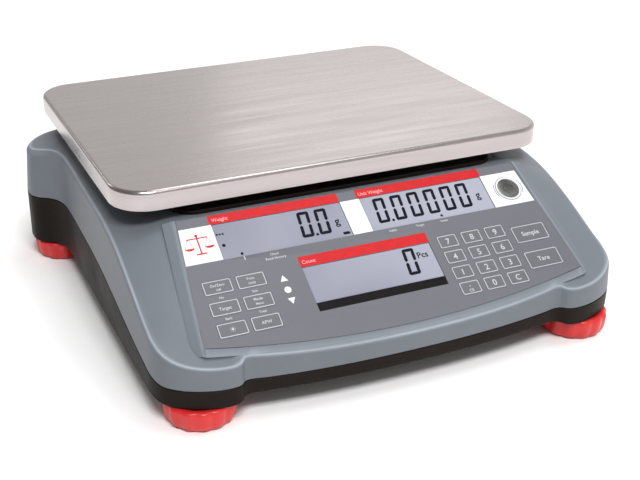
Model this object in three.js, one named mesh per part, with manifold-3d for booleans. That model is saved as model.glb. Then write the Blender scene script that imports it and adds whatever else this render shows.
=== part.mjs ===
// Bench counting scale: two-part housing, lift-off weighing pan, sloped control panel with keys
// and three displays, load cell, and four levelling feet. Millimetres, +Z up, front faces -Y.
import * as THREE from 'three';
import { mergeVertices } from 'three/addons/utils/BufferGeometryUtils.js';
import Module from 'manifold-3d';

const wasm = await Module();
wasm.setup();
const { Manifold, Mesh } = wasm;

// ---- Driving dimensions -------------------------------------------------------------------

const PAN = { width: 300, depth: 225, top: 110, skirt: 12.8, corner: 24, edge: 2.6, sheet: 1, y: 44.5 };

// The control panel is a plane that falls towards the front from a line just ahead of the pan.
const PANEL = { y: -73.6, z: 91.4, slope: THREE.MathUtils.degToRad(32.6) };
const PANEL_RISE = 3;

// Overlay outline in the panel's own axes: half-width at the top, and the curve along its foot.
const OVERLAY = { topHalf: 117.4, footHalf: 126.6, side: 85, mid: 97.4, thick: 1.1, clear: 0.3, lip: 3 };
const CONSOLE = { topHalf: 125.2, footHalf: 134, bevel: 6.6, front: 101.8, radius: 1500, root: 1.2 };

const SHELL = { wall: 2.5, top: 2.8, floor: 2.5, seam: 0.4, bottom: 14.5, foot: 1.6 };

// Stations round the right half, from the middle of the front edge to the middle of the rear:
// wall x, y; ridge x, y, z; seam height between the housings; deck edge x, y.
const STATIONS = [
  [0, -162, 0, -160.4, 35.8, 24.5, 0, -154],
  [36, -161.3, 36, -159.8, 36.2, 24.5, 36, -153.5],
  [68, -159.2, 68, -157.8, 37.5, 24.7, 67, -152],
  [93, -156.3, 92.6, -154.9, 39.3, 25, 90, -149.5],
  [102.5, -154.8, 102, -153.4, 40.2, 25.2, 98, -148.2],
  [106.2, -155.8, 105.4, -153.6, 40, 25.4, 101, -147.8],
  [108.4, -158.6, 107.6, -156.2, 39.2, 25.8, 104, -147.6],
  [112, -160.4, 112, -158.2, 38.8, 26, 108, -147.4],
  [121.5, -160.2, 121.3, -158, 38.9, 26, 114, -147],
  [133.5, -156.8, 132.6, -154.8, 39.6, 26, 119, -146],
  [144, -151, 142.6, -149.2, 41.5, 26, 122.5, -144],
  [151.2, -143.6, 149.2, -142.6, 45, 26.2, 124.5, -140],
  [154.2, -134, 152, -133.6, 48.6, 27.5, 125.2, -132],
  [154.8, -120, 152.6, -120, 54, 30, 124.6, -119],
  [155, -100, 152.7, -100, 63.5, 33.6, 122.5, -100],
  [155, -85, 152.7, -85, 70, 36.5, 120.5, -86],
  [155, -73.6, 152.6, -73.6, 74.4, 39, 119, -73.6],
  [155, -58, 152.5, -58, 79, 42.2, 118, -60],
  [154.9, -38, 152.3, -38, 82.3, 45.8, 118, -38],
  [154.8, -10, 152, -10, 83.4, 49, 118, -10],
  [154.4, 25, 151.5, 25, 84, 50, 118, 25],
  [154, 52, 150.8, 54, 84, 50, 118, 50],
  [154.6, 67, 150.8, 72, 84, 50, 118.5, 68],
  [157.4, 77, 152.6, 84, 83.8, 50, 120, 80],
  [162.4, 83.4, 156.4, 91.5, 83.4, 50, 122, 88],
  [168.2, 87.4, 161.6, 95.6, 83, 50, 123.5, 94],
  [172.2, 92.6, 165.8, 99.4, 82.6, 50, 124.5, 99],
  [173.6, 99.5, 167.6, 104.6, 82.3, 50, 125, 104],
  [172.8, 109, 167, 111.6, 82, 50, 124.6, 110],
  [169.2, 119, 163.8, 119.2, 82, 50, 122.5, 116],
  [162.4, 128.6, 157.6, 126.8, 82, 50, 118.5, 121],
  [152, 136.6, 148.2, 133.4, 82, 50, 113, 125],
  [138.6, 141.2, 136.2, 137.4, 82, 50, 106, 128],
  [110, 146, 108.6, 142.4, 82, 50, 88, 132],
  [80, 151, 79, 147.2, 82, 50, 66, 137],
  [45, 157.2, 44.6, 153.4, 82, 50, 40, 142],
  [0, 162, 0, 158.2, 82, 50, 0, 145],
];

// Runs of stations where the outline bends sharply.
const BENDS = [[4, 12], [21, 32]];

const FEET = [
  { name: 'fl', x: -128.1, y: -140.4 },
  { name: 'fr', x: 128.1, y: -140.4 },
  { name: 'rl', x: -150.4, y: 100.1 },
  { name: 'rr', x: 150.4, y: 100.1 },
];
const FOOT = {
  knobR: 21.7, knobLow: 1, knobTop: 13.7, flutes: 14, fluteDepth: 0.9, chamfer: 1.3,
  studR: 4, studLow: 2.3, studTop: 38, bore: 4.3, bossR: 8.5, bossTop: 34, padR: 16.5, padTop: 2.2,
};

// Keys in the panel's own axes: centre x, distance down the slope, width, height.
const MODE_KEY = { w: 17.6, h: 8.9, cols: [-106.4, -85.6], rows: [49.1, 63.1, 77.1] };
const DIGIT_KEY = { w: 13.2, h: 8.7, cols: [46.3, 63.4, 80.4], rows: [49.3, 60.6, 71.9, 83.2] };
const WIDE_KEY = { w: 24, h: 12.1, x: 104.1, rows: [54.8, 74] };
const DIGIT_NAMES = [
  ['7', '8', '9'], ['4', '5', '6'], ['1', '2', '3'], ['clear_entry', '0', 'clear'],
];
const KEY = { low: -4.4, top: 0.15, corner: 1.1, clear: 0.3 };

const DISPLAYS = [
  { name: 'display_weight', x: [-96.8, -12.2], s: [7.6, 32.1] },
  { name: 'display_unit_weight', x: [1.7, 89.5], s: [7.6, 32.1] },
  { name: 'display_count', x: [-52.3, 33.3], s: [47.6, 71.8] },
];
const DISPLAY = { low: -5, top: -0.25, clear: 0.25 };
const BOARD = { half: 112, s: [4, 86], top: -5.2, thick: 1.6 };
const VIAL = { x: 105.5, s: 19.9, r: 7.2, low: -4.9, top: -0.3, ringIn: 7.5, ringOut: 8.8, ringTop: 0.35 };

const CELL = { x: 65, half: 15, low: 40, top: 62, screws: [-57, -41], screwR: 3, headR: 5 };
const SPIDER = { low: 98, top: 103, armX: 116, armY: 80, bossX: [28, 72], bossHalf: 14, gap: 0.7 };
const PAD = { r: 9, clear: 0.05 };
const DECK_HOLE = { x: [20, 80], y: [22, 67] };

const BATTERY = { x: 50.5, y: [63, 131], z: [17.3, 64.3] };
const COVER = { x: 53.6, y: [60.4, 133.6], z: [14.7, 17], clear: 0.4 };
const ALCOVE = { x: [30, 106], z: [21.5, 46.5], back: 143, wall: 2.5 };
const INLET = { x: 88, z: 34, w: 26, h: 19, flange: 1.6, deep: 22, socketW: 22, socketH: 14, socket: 14 };
const SERIAL = { x: 49, z: 34, w: 18.6, h: 10, flangeW: 31, flangeH: 12.6, mouthW: 16.8, mouthH: 8.6 };
// Case screws: x, y, and the top of the boss that hangs from the upper housing.
const CASE_SCREWS = [[-140, -95, 67.4], [140, -95, 67.4], [-128, 128, 83.4], [128, 128, 83.4]];
const CASE_SCREW = {
  headR: 3.4, shankR: 1.6, holeR: 1.9, head: [15.2, 17.8], tip: 38,
  lowerR: 5.5, bossTop: 23.5, upperR: 4.4, split: 23.9,
};

// ---- Solids -------------------------------------------------------------------------------

// A closed solid from a triangle geometry, turned outward if it came inside out.
function solid(geometry) {
  const plain = geometry.clone();
  plain.deleteAttribute('normal');
  plain.deleteAttribute('uv');
  const merged = mergeVertices(plain, 1e-4);
  const position = merged.attributes.position;
  const index = Array.from(merged.index.array);
  const [a, b, c] = [new THREE.Vector3(), new THREE.Vector3(), new THREE.Vector3()];
  let volume = 0;
  for (let i = 0; i < index.length; i += 3) {
    a.fromBufferAttribute(position, index[i]);
    b.fromBufferAttribute(position, index[i + 1]);
    c.fromBufferAttribute(position, index[i + 2]);
    volume += a.dot(b.cross(c));
  }
  if (volume < 0) index.reverse();
  return new Manifold(new Mesh({
    numProp: 3,
    vertProperties: Float32Array.from(position.array),
    triVerts: Uint32Array.from(index),
  }));
}

function geometryOf(body) {
  const mesh = body.getMesh();
  const geometry = new THREE.BufferGeometry();
  geometry.setAttribute('position', new THREE.BufferAttribute(Float32Array.from(mesh.vertProperties), 3));
  geometry.setIndex(Array.from(mesh.triVerts));
  return geometry;
}

function box(x, y, z) {
  const geometry = new THREE.BoxGeometry(x[1] - x[0], y[1] - y[0], z[1] - z[0]);
  geometry.translate((x[0] + x[1]) / 2, (y[0] + y[1]) / 2, (z[0] + z[1]) / 2);
  return solid(geometry);
}

// A turned solid about a vertical line; the profile is [radius, height] from foot to top.
function turned(profile, x, y, segments = 24) {
  const points = profile.map(([r, z]) => new THREE.Vector2(r, z));
  const geometry = new THREE.LatheGeometry(points, segments);
  geometry.rotateX(Math.PI / 2);
  geometry.translate(x, y, 0);
  return solid(geometry);
}

function cylinder(r, z, x, y, segments = 24) {
  return turned([[0, z[0]], [r, z[0]], [r, z[1]], [0, z[1]]], x, y, segments);
}

function union(...bodies) {
  return bodies.reduce((sum, body) => sum.add(body));
}

function cut(body, ...tools) {
  return tools.reduce((rest, tool) => rest.subtract(tool), body);
}

// Triangles over a closed loop, seen in plan.
function capFaces(loop) {
  return THREE.ShapeUtils.triangulateShape(loop.map((p) => new THREE.Vector2(p.x, p.y)), []);
}

// A closed skin through loops that have the same number of points, with faces for both ends.
function skin(loops, firstFaces, lastFaces) {
  const count = loops[0].length;
  const positions = loops.flat().flatMap((p) => [p.x, p.y, p.z]);
  const faces = [];
  for (let k = 0; k + 1 < loops.length; k += 1) {
    for (let i = 0; i < count; i += 1) {
      const j = (i + 1) % count;
      const [a, b, c, d] = [k * count + i, k * count + j, (k + 1) * count + j, (k + 1) * count + i];
      faces.push([a, b, c], [a, c, d]);
    }
  }
  const last = (loops.length - 1) * count;
  firstFaces.forEach(([a, b, c]) => faces.push([c, b, a]));
  lastFaces.forEach(([a, b, c]) => faces.push([a + last, b + last, c + last]));
  const geometry = new THREE.BufferGeometry();
  geometry.setAttribute('position', new THREE.Float32BufferAttribute(positions, 3));
  geometry.setIndex(faces.flat());
  return solid(geometry);
}

function prism(loop, z) {
  const at = (height) => loop.map((p) => new THREE.Vector3(p.x, p.y, height));
  const faces = capFaces(loop);
  return skin([at(z[0]), at(z[1])], faces, faces);
}

function inset(loop, distance) {
  return loop.map((p, i) => {
    const before = loop[(i + loop.length - 1) % loop.length];
    const after = loop[(i + 1) % loop.length];
    const along = new THREE.Vector2(after.x - before.x, after.y - before.y).normalize();
    return new THREE.Vector3(p.x - along.y * distance, p.y + along.x * distance, p.z);
  });
}

function roundedLoop(halfX, halfY, r, steps, x = 0, y = 0, z = 0) {
  const corners = [[1, 1], [-1, 1], [-1, -1], [1, -1]];
  return corners.flatMap(([sx, sy], quarter) => Array.from({ length: steps + 1 }, (_, i) => {
    const angle = (quarter + i / steps) * Math.PI / 2;
    const cx = x + sx * (halfX - r);
    const cy = y + sy * (halfY - r);
    return new THREE.Vector3(cx + r * Math.cos(angle), cy + r * Math.sin(angle), z);
  }));
}

// ---- Panel axes: x across, s down the slope from the panel's top line, n out of it ---------

const SLOPE_TAN = Math.tan(PANEL.slope);

function panelHeight(y) {
  return PANEL.z + (y - PANEL.y) * SLOPE_TAN;
}

function ontoPanel(body) {
  const degrees = THREE.MathUtils.radToDeg(PANEL.slope);
  return body.rotate([degrees, 0, 0]).translate([0, PANEL.y, PANEL.z]);
}

function panelBox(x, s, n) {
  return ontoPanel(box(x, [-s[1], -s[0]], n));
}

function panelDisc(r, n) {
  return ontoPanel(cylinder(r, n, VIAL.x, -VIAL.s, 28));
}

// Overlay outline, grown outwards by the given amount, in plan before it is tilted.
function overlayLoop(grow) {
  const reach = OVERLAY.footHalf + grow;
  const foot = Array.from({ length: 17 }, (_, i) => {
    const t = i / 8 - 1;
    const s = OVERLAY.mid - (OVERLAY.mid - OVERLAY.side) * t * t + grow;
    return new THREE.Vector3(t * reach, -s, 0);
  });
  const top = OVERLAY.topHalf + grow;
  return [...foot, new THREE.Vector3(top, -0.6 + grow, 0), new THREE.Vector3(-top, -0.6 + grow, 0)];
}

function panelPrism(loop, n) {
  return ontoPanel(prism(loop, n));
}

// ---- Housing loops ------------------------------------------------------------------------

// The stations of one half, with a smooth point added between those where the outline bends.
function halfStations() {
  const rows = [];
  const get = (i, k) => {
    if (i < 0) return k === 0 || k === 2 || k === 6 ? -STATIONS[-i][k] : STATIONS[-i][k];
    const last = STATIONS.length - 1;
    if (i <= last) return STATIONS[i][k];
    const mirror = STATIONS[2 * last - i][k];
    return k === 0 || k === 2 || k === 6 ? -mirror : mirror;
  };
  for (let i = 0; i < STATIONS.length - 1; i += 1) {
    rows.push(STATIONS[i].slice());
    if (!BENDS.some(([from, to]) => i >= from && i < to)) continue;
    const middle = STATIONS[i].map((_, k) => (
      (9 * (get(i, k) + get(i + 1, k)) - get(i - 1, k) - get(i + 2, k)) / 16));
    rows.push(middle);
  }
  rows.push(STATIONS[STATIONS.length - 1].slice());
  return rows;
}

const HALF = halfStations();
const MIRRORED = HALF.slice(1, -1).reverse().map((row) => row.map((v, k) => (
  k === 0 || k === 2 || k === 6 ? -v : v)));
const RING = [...HALF, ...MIRRORED];
const CREASE = HALF.findIndex((row) => row[1] === PANEL.y && row[7] === PANEL.y);

function deckHeight(row) {
  const along = Math.min(0, row[7] - PANEL.y) * SLOPE_TAN;
  const edge = THREE.MathUtils.smoothstep(Math.abs(row[6]), 104, 112);
  const front = row[7] < -130 ? edge : 1;
  return PANEL.z + along - 0.5 - (PANEL_RISE - 0.5) * front;
}

const WALL = RING.map((row) => new THREE.Vector3(row[0], row[1], 0));
const RIDGE = RING.map((row) => new THREE.Vector3(row[2], row[3], row[4]));
const SEAM = RING.map((row) => row[5]);
const DECK = RING.map((row) => new THREE.Vector3(row[6], row[7], deckHeight(row)));

// A loop part of the way from the wall to the ridge, a given drop below the ridge.
function leaning(share, drop) {
  return WALL.map((p, i) => new THREE.Vector3(
    p.x + (RIDGE[i].x - p.x) * share,
    p.y + (RIDGE[i].y - p.y) * share,
    RIDGE[i].z - drop,
  ));
}

function lowered(loop, drop) {
  return loop.map((p) => new THREE.Vector3(p.x, p.y, p.z - drop));
}

// The deck and the slope under the panel meet along a crease, so each is capped on its own.
function deckFaces() {
  const count = DECK.length;
  const other = count - CREASE;
  const rear = Array.from({ length: other - CREASE + 1 }, (_, i) => CREASE + i);
  const front = Array.from({ length: count - rear.length + 2 }, (_, i) => (other + i) % count);
  return [rear, front].flatMap((ids) => capFaces(ids.map((i) => DECK[i]))
    .map((face) => face.map((i) => ids[i])));
}

function upperShell() {
  const shoulder = RIDGE.map((p, i) => {
    const middle = p.clone().lerp(DECK[i], 0.5);
    const inFront = Math.abs(p.x) < 108 && p.y < 0;
    middle.z += inFront ? 0 : 1.1;
    return middle;
  });
  const seam = WALL.map((p, i) => new THREE.Vector3(p.x, p.y, SEAM[i]));
  const faces = deckFaces();
  return skin([
    lowered(DECK, SHELL.top),
    lowered(shoulder, SHELL.top),
    lowered(inset(RIDGE, SHELL.wall - 0.4), SHELL.top + 0.1),
    lowered(inset(leaning(0.45, 2.4), SHELL.wall), 2.2),
    inset(seam, SHELL.wall),
    seam,
    leaning(0.45, 2.4),
    leaning(0.74, 0.7),
    RIDGE,
    shoulder,
    DECK,
  ], faces, faces);
}

// The raised block the panel lies on: bevelled at both sides, curved along the front.
function consoleBlock() {
  const outline = (shrink, z) => {
    const foot = CONSOLE.footHalf - shrink;
    const top = CONSOLE.topHalf - shrink;
    const front = Array.from({ length: 15 }, (_, i) => {
      const x = (i / 7 - 1) * foot;
      return new THREE.Vector3(x, x * x / CONSOLE.radius - CONSOLE.front, z);
    });
    return [...front, new THREE.Vector3(top, 0.5, z), new THREE.Vector3(-top, 0.5, z)];
  };
  const rise = PANEL_RISE * Math.cos(PANEL.slope);
  const loops = [
    outline(0, -rise - CONSOLE.root),
    outline(0, -rise),
    outline(CONSOLE.bevel, 0),
  ];
  return ontoPanel(skin(loops, capFaces(loops[0]), capFaces(loops[2])));
}

// ---- Housing ------------------------------------------------------------------------------

function upperHousing() {
  const bosses = CASE_SCREWS.map(([x, y, top]) => (
    cylinder(CASE_SCREW.upperR, [CASE_SCREW.split, top], x, y, 16)));
  const holes = CASE_SCREWS.map(([x, y]) => (
    cylinder(CASE_SCREW.holeR, [CASE_SCREW.split - 1, CASE_SCREW.tip + 2], x, y, 12)));
  return cut(
    union(upperShell(), consoleBlock(), ...bosses),
    panelPrism(overlayLoop(OVERLAY.clear), [-OVERLAY.thick - 0.05, 6]),
    panelPrism(overlayLoop(-OVERLAY.lip), [-14, 0]),
    box(DECK_HOLE.x, DECK_HOLE.y, [80, 95]),
    ...holes,
  );
}

function tray() {
  const low = inset(WALL, SHELL.foot).map((p) => p.setZ(SHELL.bottom));
  const floor = inset(WALL, SHELL.wall).map((p) => p.setZ(SHELL.bottom + SHELL.floor));
  const outerTop = WALL.map((p, i) => new THREE.Vector3(p.x, p.y, SEAM[i] - SHELL.seam));
  const loops = [
    low,
    WALL.map((p) => new THREE.Vector3(p.x, p.y, SHELL.bottom + SHELL.foot)),
    outerTop,
    inset(outerTop, SHELL.wall),
    floor,
  ];
  return skin(loops, capFaces(low), capFaces(floor));
}

// A walled pocket let into the rear, for the sockets.
function alcoveBlock() {
  const t = ALCOVE.wall;
  const block = box(
    [ALCOVE.x[0] - t, ALCOVE.x[1] + t],
    [ALCOVE.back - t, 170],
    [ALCOVE.z[0] - t, ALCOVE.z[1] + t],
  );
  return block.intersect(prism(inset(WALL, 1), [16, 49.2]));
}

function lowerHousing() {
  const inside = SHELL.bottom + 1;
  const cellBoss = box([-68, -32], [PAN.y - 17, PAN.y + 17], [inside, CELL.low - 0.05]);
  const footBosses = FEET.map(({ x, y }) => cylinder(FOOT.bossR, [inside, FOOT.bossTop], x, y));
  const caseBosses = CASE_SCREWS.map(([x, y]) => (
    cylinder(CASE_SCREW.lowerR, [inside, CASE_SCREW.bossTop], x, y, 16)));
  const body = union(tray(), alcoveBlock(), cellBoss, ...footBosses, ...caseBosses);
  return cut(
    body,
    box(ALCOVE.x, [ALCOVE.back, 175], ALCOVE.z),
    portHole(INLET, 0.3),
    portHole(SERIAL, 0.3),
    ...FEET.map(({ x, y }) => cylinder(FOOT.bore, [10, 50], x, y)),
    ...CELL.screws.flatMap((x) => [
      cylinder(CELL.screwR + 0.3, [10, 45], x, PAN.y, 16),
      cylinder(CELL.headR + 0.4, [10, 21.3], x, PAN.y, 20),
    ]),
    ...CASE_SCREWS.flatMap(([x, y]) => [
      cylinder(CASE_SCREW.holeR, [10, 30], x, y, 12),
      cylinder(CASE_SCREW.headR + 0.4, [10, CASE_SCREW.head[1] + 0.2], x, y, 16),
    ]),
    box(
      [-COVER.x - COVER.clear, COVER.x + COVER.clear],
      [COVER.y[0] - COVER.clear, COVER.y[1] + COVER.clear],
      [10, 18],
    ),
  );
}

function portHole(port, clear) {
  return box(
    [port.x - port.w / 2 - clear, port.x + port.w / 2 + clear],
    [ALCOVE.back - 6, ALCOVE.back + 1],
    [port.z - port.h / 2 - clear, port.z + port.h / 2 + clear],
  );
}

// ---- Pan and what carries it --------------------------------------------------------------

// Pan loop at an angle round its top edge: 0 is the skirt, a quarter turn is the flat top.
function panLoop(inward, radius, angle, z = null) {
  const d = inward + radius * (1 - Math.cos(angle));
  const height = z ?? PAN.top - PAN.edge + radius * Math.sin(angle);
  return roundedLoop(PAN.width / 2 - d, PAN.depth / 2 - d, PAN.corner - d, 6, 0, PAN.y, height);
}

function weighingPan() {
  const quarter = Math.PI / 2;
  const inner = PAN.edge - PAN.sheet;
  const foot = PAN.top - PAN.skirt;
  const loops = [
    panLoop(PAN.sheet, inner, quarter),
    panLoop(PAN.sheet, inner, quarter / 2),
    panLoop(PAN.sheet, inner, 0),
    panLoop(PAN.sheet, inner, 0, foot),
    panLoop(0, PAN.edge, 0, foot),
    panLoop(0, PAN.edge, 0),
    panLoop(0, PAN.edge, quarter / 3),
    panLoop(0, PAN.edge, 2 * quarter / 3),
    panLoop(0, PAN.edge, quarter),
  ];
  return skin(loops, capFaces(loops[0]), capFaces(loops[8]));
}

function spider() {
  const z = [SPIDER.low, SPIDER.top];
  const bar = (side) => box(
    [side * SPIDER.armX - 10, side * SPIDER.armX + 10],
    [PAN.y - SPIDER.armY - 10, PAN.y + SPIDER.armY + 10],
    z,
  );
  const beam = box([-SPIDER.armX, SPIDER.armX], [PAN.y - 18, PAN.y + 18], z);
  const boss = box(
    SPIDER.bossX,
    [PAN.y - SPIDER.bossHalf, PAN.y + SPIDER.bossHalf],
    [CELL.top + SPIDER.gap, SPIDER.low + 1],
  );
  return union(beam, bar(-1), bar(1), boss);
}

function padPlaces() {
  return [['fl', -1, -1], ['fr', 1, -1], ['rl', -1, 1], ['rr', 1, 1]];
}

function panPad([, sx, sy]) {
  const z = [SPIDER.top + PAD.clear, PAN.top - PAN.sheet - PAD.clear];
  return cylinder(PAD.r, z, sx * SPIDER.armX, PAN.y + sy * SPIDER.armY, 20);
}

function loadCell() {
  const middle = (CELL.low + CELL.top) / 2;
  const y = [PAN.y - CELL.half, PAN.y + CELL.half];
  const eyes = [-12, 12].map((x) => {
    const geometry = new THREE.CylinderGeometry(8, 8, 40, 24);
    geometry.translate(x, PAN.y, middle);
    return solid(geometry);
  });
  return cut(
    box([-CELL.x, CELL.x], y, [CELL.low, CELL.top]),
    ...eyes,
    box([-12, 12], [y[0] - 5, y[1] + 5], [middle - 2, middle + 2]),
    ...CELL.screws.map((x) => cylinder(CELL.screwR + 0.3, [CELL.low - 1, 52], x, PAN.y, 16)),
  );
}

function cellScrew(x) {
  const { headR, screwR } = CELL;
  return turned([[0, 15.3], [headR, 15.3], [headR, 21], [screwR, 21], [screwR, 50], [0, 50]], x, PAN.y, 20);
}

function caseScrew([x, y]) {
  const { headR, shankR, head, tip } = CASE_SCREW;
  return turned(
    [[0, head[0]], [headR, head[0]], [headR, head[1]], [shankR, head[1]], [shankR, tip], [0, tip]], x, y, 16);
}

// ---- Control panel ------------------------------------------------------------------------

function keyLayout() {
  const grid = (block, name) => block.rows.flatMap((s, row) => block.cols.map((x, column) => (
    { name: name(row, column), x, s, w: block.w, h: block.h })));
  return [
    ...grid(MODE_KEY, (row, column) => `key_mode_${row * 2 + column + 1}`),
    ...grid(DIGIT_KEY, (row, column) => `key_${DIGIT_NAMES[row][column]}`),
    { name: 'key_sample', x: WIDE_KEY.x, s: WIDE_KEY.rows[0], w: WIDE_KEY.w, h: WIDE_KEY.h },
    { name: 'key_tare', x: WIDE_KEY.x, s: WIDE_KEY.rows[1], w: WIDE_KEY.w, h: WIDE_KEY.h },
  ];
}

function keyPrism(key, grow, n) {
  const loop = roundedLoop(key.w / 2 + grow, key.h / 2 + grow, KEY.corner, 1, key.x, -key.s);
  return panelPrism(loop, n);
}

function controlOverlay() {
  const windows = DISPLAYS.map(({ x, s }) => panelBox(
    [x[0] - DISPLAY.clear, x[1] + DISPLAY.clear],
    [s[0] - DISPLAY.clear, s[1] + DISPLAY.clear],
    [-3, 3],
  ));
  const keyHoles = keyLayout().map((key) => keyPrism(key, KEY.clear, [-3, 3]));
  const plate = panelPrism(overlayLoop(0), [-OVERLAY.thick, 0]);
  return cut(plate, ...windows, ...keyHoles, panelDisc(VIAL.ringOut + 0.3, [-3, 3]));
}

function vialRing() {
  return panelDisc(VIAL.ringOut, [VIAL.low, VIAL.ringTop])
    .subtract(panelDisc(VIAL.ringIn, [VIAL.low - 1, VIAL.ringTop + 1]));
}

// ---- Feet, power and sockets --------------------------------------------------------------

function flutedLoop(x, y, z, shrink) {
  const steps = FOOT.flutes * 4;
  return Array.from({ length: steps }, (_, i) => {
    const angle = i / steps * 2 * Math.PI;
    const dip = FOOT.fluteDepth * (0.5 - 0.5 * Math.cos(FOOT.flutes * angle));
    const r = FOOT.knobR - dip - shrink;
    return new THREE.Vector3(x + r * Math.cos(angle), y + r * Math.sin(angle), z);
  });
}

function footKnob({ x, y }) {
  const { knobLow, knobTop, chamfer } = FOOT;
  const loops = [
    flutedLoop(x, y, knobLow, chamfer),
    flutedLoop(x, y, knobLow + chamfer, 0),
    flutedLoop(x, y, knobTop - chamfer, 0),
    flutedLoop(x, y, knobTop, chamfer),
  ];
  const faces = capFaces(loops[0]);
  return cut(
    skin(loops, faces, faces),
    cylinder(FOOT.bore, [knobLow - 1, knobTop + 1], x, y, 16),
    cylinder(FOOT.padR + 0.6, [knobLow - 1, FOOT.padTop + 0.4], x, y, 20),
  );
}

function footStud({ x, y }) {
  const { studR, studLow, studTop } = FOOT;
  return turned(
    [[0, studLow], [studR, studLow], [studR, studTop - 1], [studR - 1, studTop], [0, studTop]], x, y, 16);
}

function footPad({ x, y }) {
  const { padR, padTop } = FOOT;
  return turned([[0, 0], [padR - 1, 0], [padR, 1], [padR, padTop], [0, padTop]], x, y, 20);
}

// A socket behind the alcove wall: a flange outside, a body through the wall, a mouth.
function powerInlet() {
  const { x, z, w, h, flange, deep, socketW, socketH, socket } = INLET;
  const face = ALCOVE.back + 0.05;
  return cut(
    union(
      box([x - w / 2 - 2.5, x + w / 2 + 2.5], [face, face + flange], [z - h / 2 - 1.6, z + h / 2 + 1.6]),
      box([x - w / 2, x + w / 2], [face + 0.5 - deep, face + 0.5], [z - h / 2, z + h / 2]),
    ),
    box([x - socketW / 2, x + socketW / 2], [face + flange - socket, face + 9], [z - socketH / 2, z + socketH / 2]),
  );
}

function serialPort() {
  const { x, z, w, h, flangeW, flangeH, mouthW, mouthH } = SERIAL;
  const face = ALCOVE.back + 0.05;
  return cut(
    union(
      box([x - flangeW / 2, x + flangeW / 2], [face, face + 1], [z - flangeH / 2, z + flangeH / 2]),
      box([x - w / 2, x + w / 2], [face - 9, face + 0.5], [z - h / 2, z + h / 2]),
      box(
        [x - mouthW / 2 - 0.7, x + mouthW / 2 + 0.7],
        [face, face + 6],
        [z - mouthH / 2 - 0.7, z + mouthH / 2 + 0.7],
      ),
    ),
    box([x - mouthW / 2, x + mouthW / 2], [face - 5, face + 9], [z - mouthH / 2, z + mouthH / 2]),
  );
}

// ---- Assembly -----------------------------------------------------------------------------

function pieces() {
  return [
    ['upper_housing', upperHousing()],
    ['lower_housing', lowerHousing()],
    ['weighing_pan', weighingPan()],
    ['spider', spider()],
    ...padPlaces().map((place) => [`pan_pad_${place[0]}`, panPad(place)]),
    ['load_cell', loadCell()],
    ...CELL.screws.map((x, i) => [`load_cell_screw_${i + 1}`, cellScrew(x)]),
    ['control_overlay', controlOverlay()],
    ...keyLayout().map((key) => [key.name, keyPrism(key, 0, [KEY.low, KEY.top])]),
    ...DISPLAYS.map(({ name, x, s }) => [name, panelBox(x, s, [DISPLAY.low, DISPLAY.top])]),
    ['main_board', panelBox([-BOARD.half, BOARD.half], BOARD.s, [BOARD.top - BOARD.thick, BOARD.top])],
    ['level_vial', panelDisc(VIAL.r, [VIAL.low, VIAL.top])],
    ['level_vial_ring', vialRing()],
    ['battery', box([-BATTERY.x, BATTERY.x], BATTERY.y, BATTERY.z)],
    ['battery_cover', box([-COVER.x, COVER.x], COVER.y, COVER.z)],
    ['power_inlet', powerInlet()],
    ['serial_port', serialPort()],
    ...FEET.flatMap((foot) => [
      [`foot_knob_${foot.name}`, footKnob(foot)],
      [`foot_stud_${foot.name}`, footStud(foot)],
      [`foot_pad_${foot.name}`, footPad(foot)],
    ]),
    ...CASE_SCREWS.map((place, i) => [`case_screw_${i + 1}`, caseScrew(place)]),
  ];
}

const COLOURS = [
  [/^upper_housing/, 0x8a909a], [/^lower_housing|^battery_cover/, 0x2c2624], [/^weighing_pan/, 0xb9b2ac],
  [/^foot_knob/, 0xd83a34], [/^control_overlay|^key/, 0x82848a], [/^display/, 0xa5acbc],
  [/^main_board/, 0x2f6b45], [/^level_vial$/, 0xc8d2b0], [/./, 0x77777a],
];

function meshOf([name, body]) {
  const geometry = geometryOf(body).toNonIndexed();
  geometry.computeVertexNormals();
  const colour = COLOURS.find(([pattern]) => pattern.test(name))[1];
  const mesh = new THREE.Mesh(geometry, new THREE.MeshStandardMaterial({ color: colour }));
  mesh.name = name;
  return mesh;
}

const scale = new THREE.Group();
scale.name = 'counting_scale';
pieces().map(meshOf).forEach((mesh) => scale.add(mesh));

export default scale;
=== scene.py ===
"""Looks of the bench counting scale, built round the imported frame.

Lengths are in millimetres until a mesh is made. The front faces -Y and the floor is z = 0.
The panel has its own axes: x across, s down the slope from its top line, n out of it.
"""

import math

import bmesh
import bpy
import numpy as np
from mathutils import Matrix, Vector
from mathutils.geometry import tessellate_polygon


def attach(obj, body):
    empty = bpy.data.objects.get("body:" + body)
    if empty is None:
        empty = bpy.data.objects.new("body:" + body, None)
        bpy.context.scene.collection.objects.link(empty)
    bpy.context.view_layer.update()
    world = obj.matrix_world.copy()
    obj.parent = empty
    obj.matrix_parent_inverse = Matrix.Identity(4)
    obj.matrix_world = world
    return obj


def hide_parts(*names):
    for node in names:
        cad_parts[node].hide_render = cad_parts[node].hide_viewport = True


MM = 0.001

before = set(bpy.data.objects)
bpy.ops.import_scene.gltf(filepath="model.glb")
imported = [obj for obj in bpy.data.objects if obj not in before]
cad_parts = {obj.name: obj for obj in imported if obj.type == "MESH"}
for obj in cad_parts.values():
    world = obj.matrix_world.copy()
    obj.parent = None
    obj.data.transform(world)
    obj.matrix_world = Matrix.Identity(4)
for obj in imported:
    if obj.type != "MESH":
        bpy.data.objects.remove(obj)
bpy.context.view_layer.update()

# ---- Dimensions shared with the CAD -------------------------------------------------------

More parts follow.
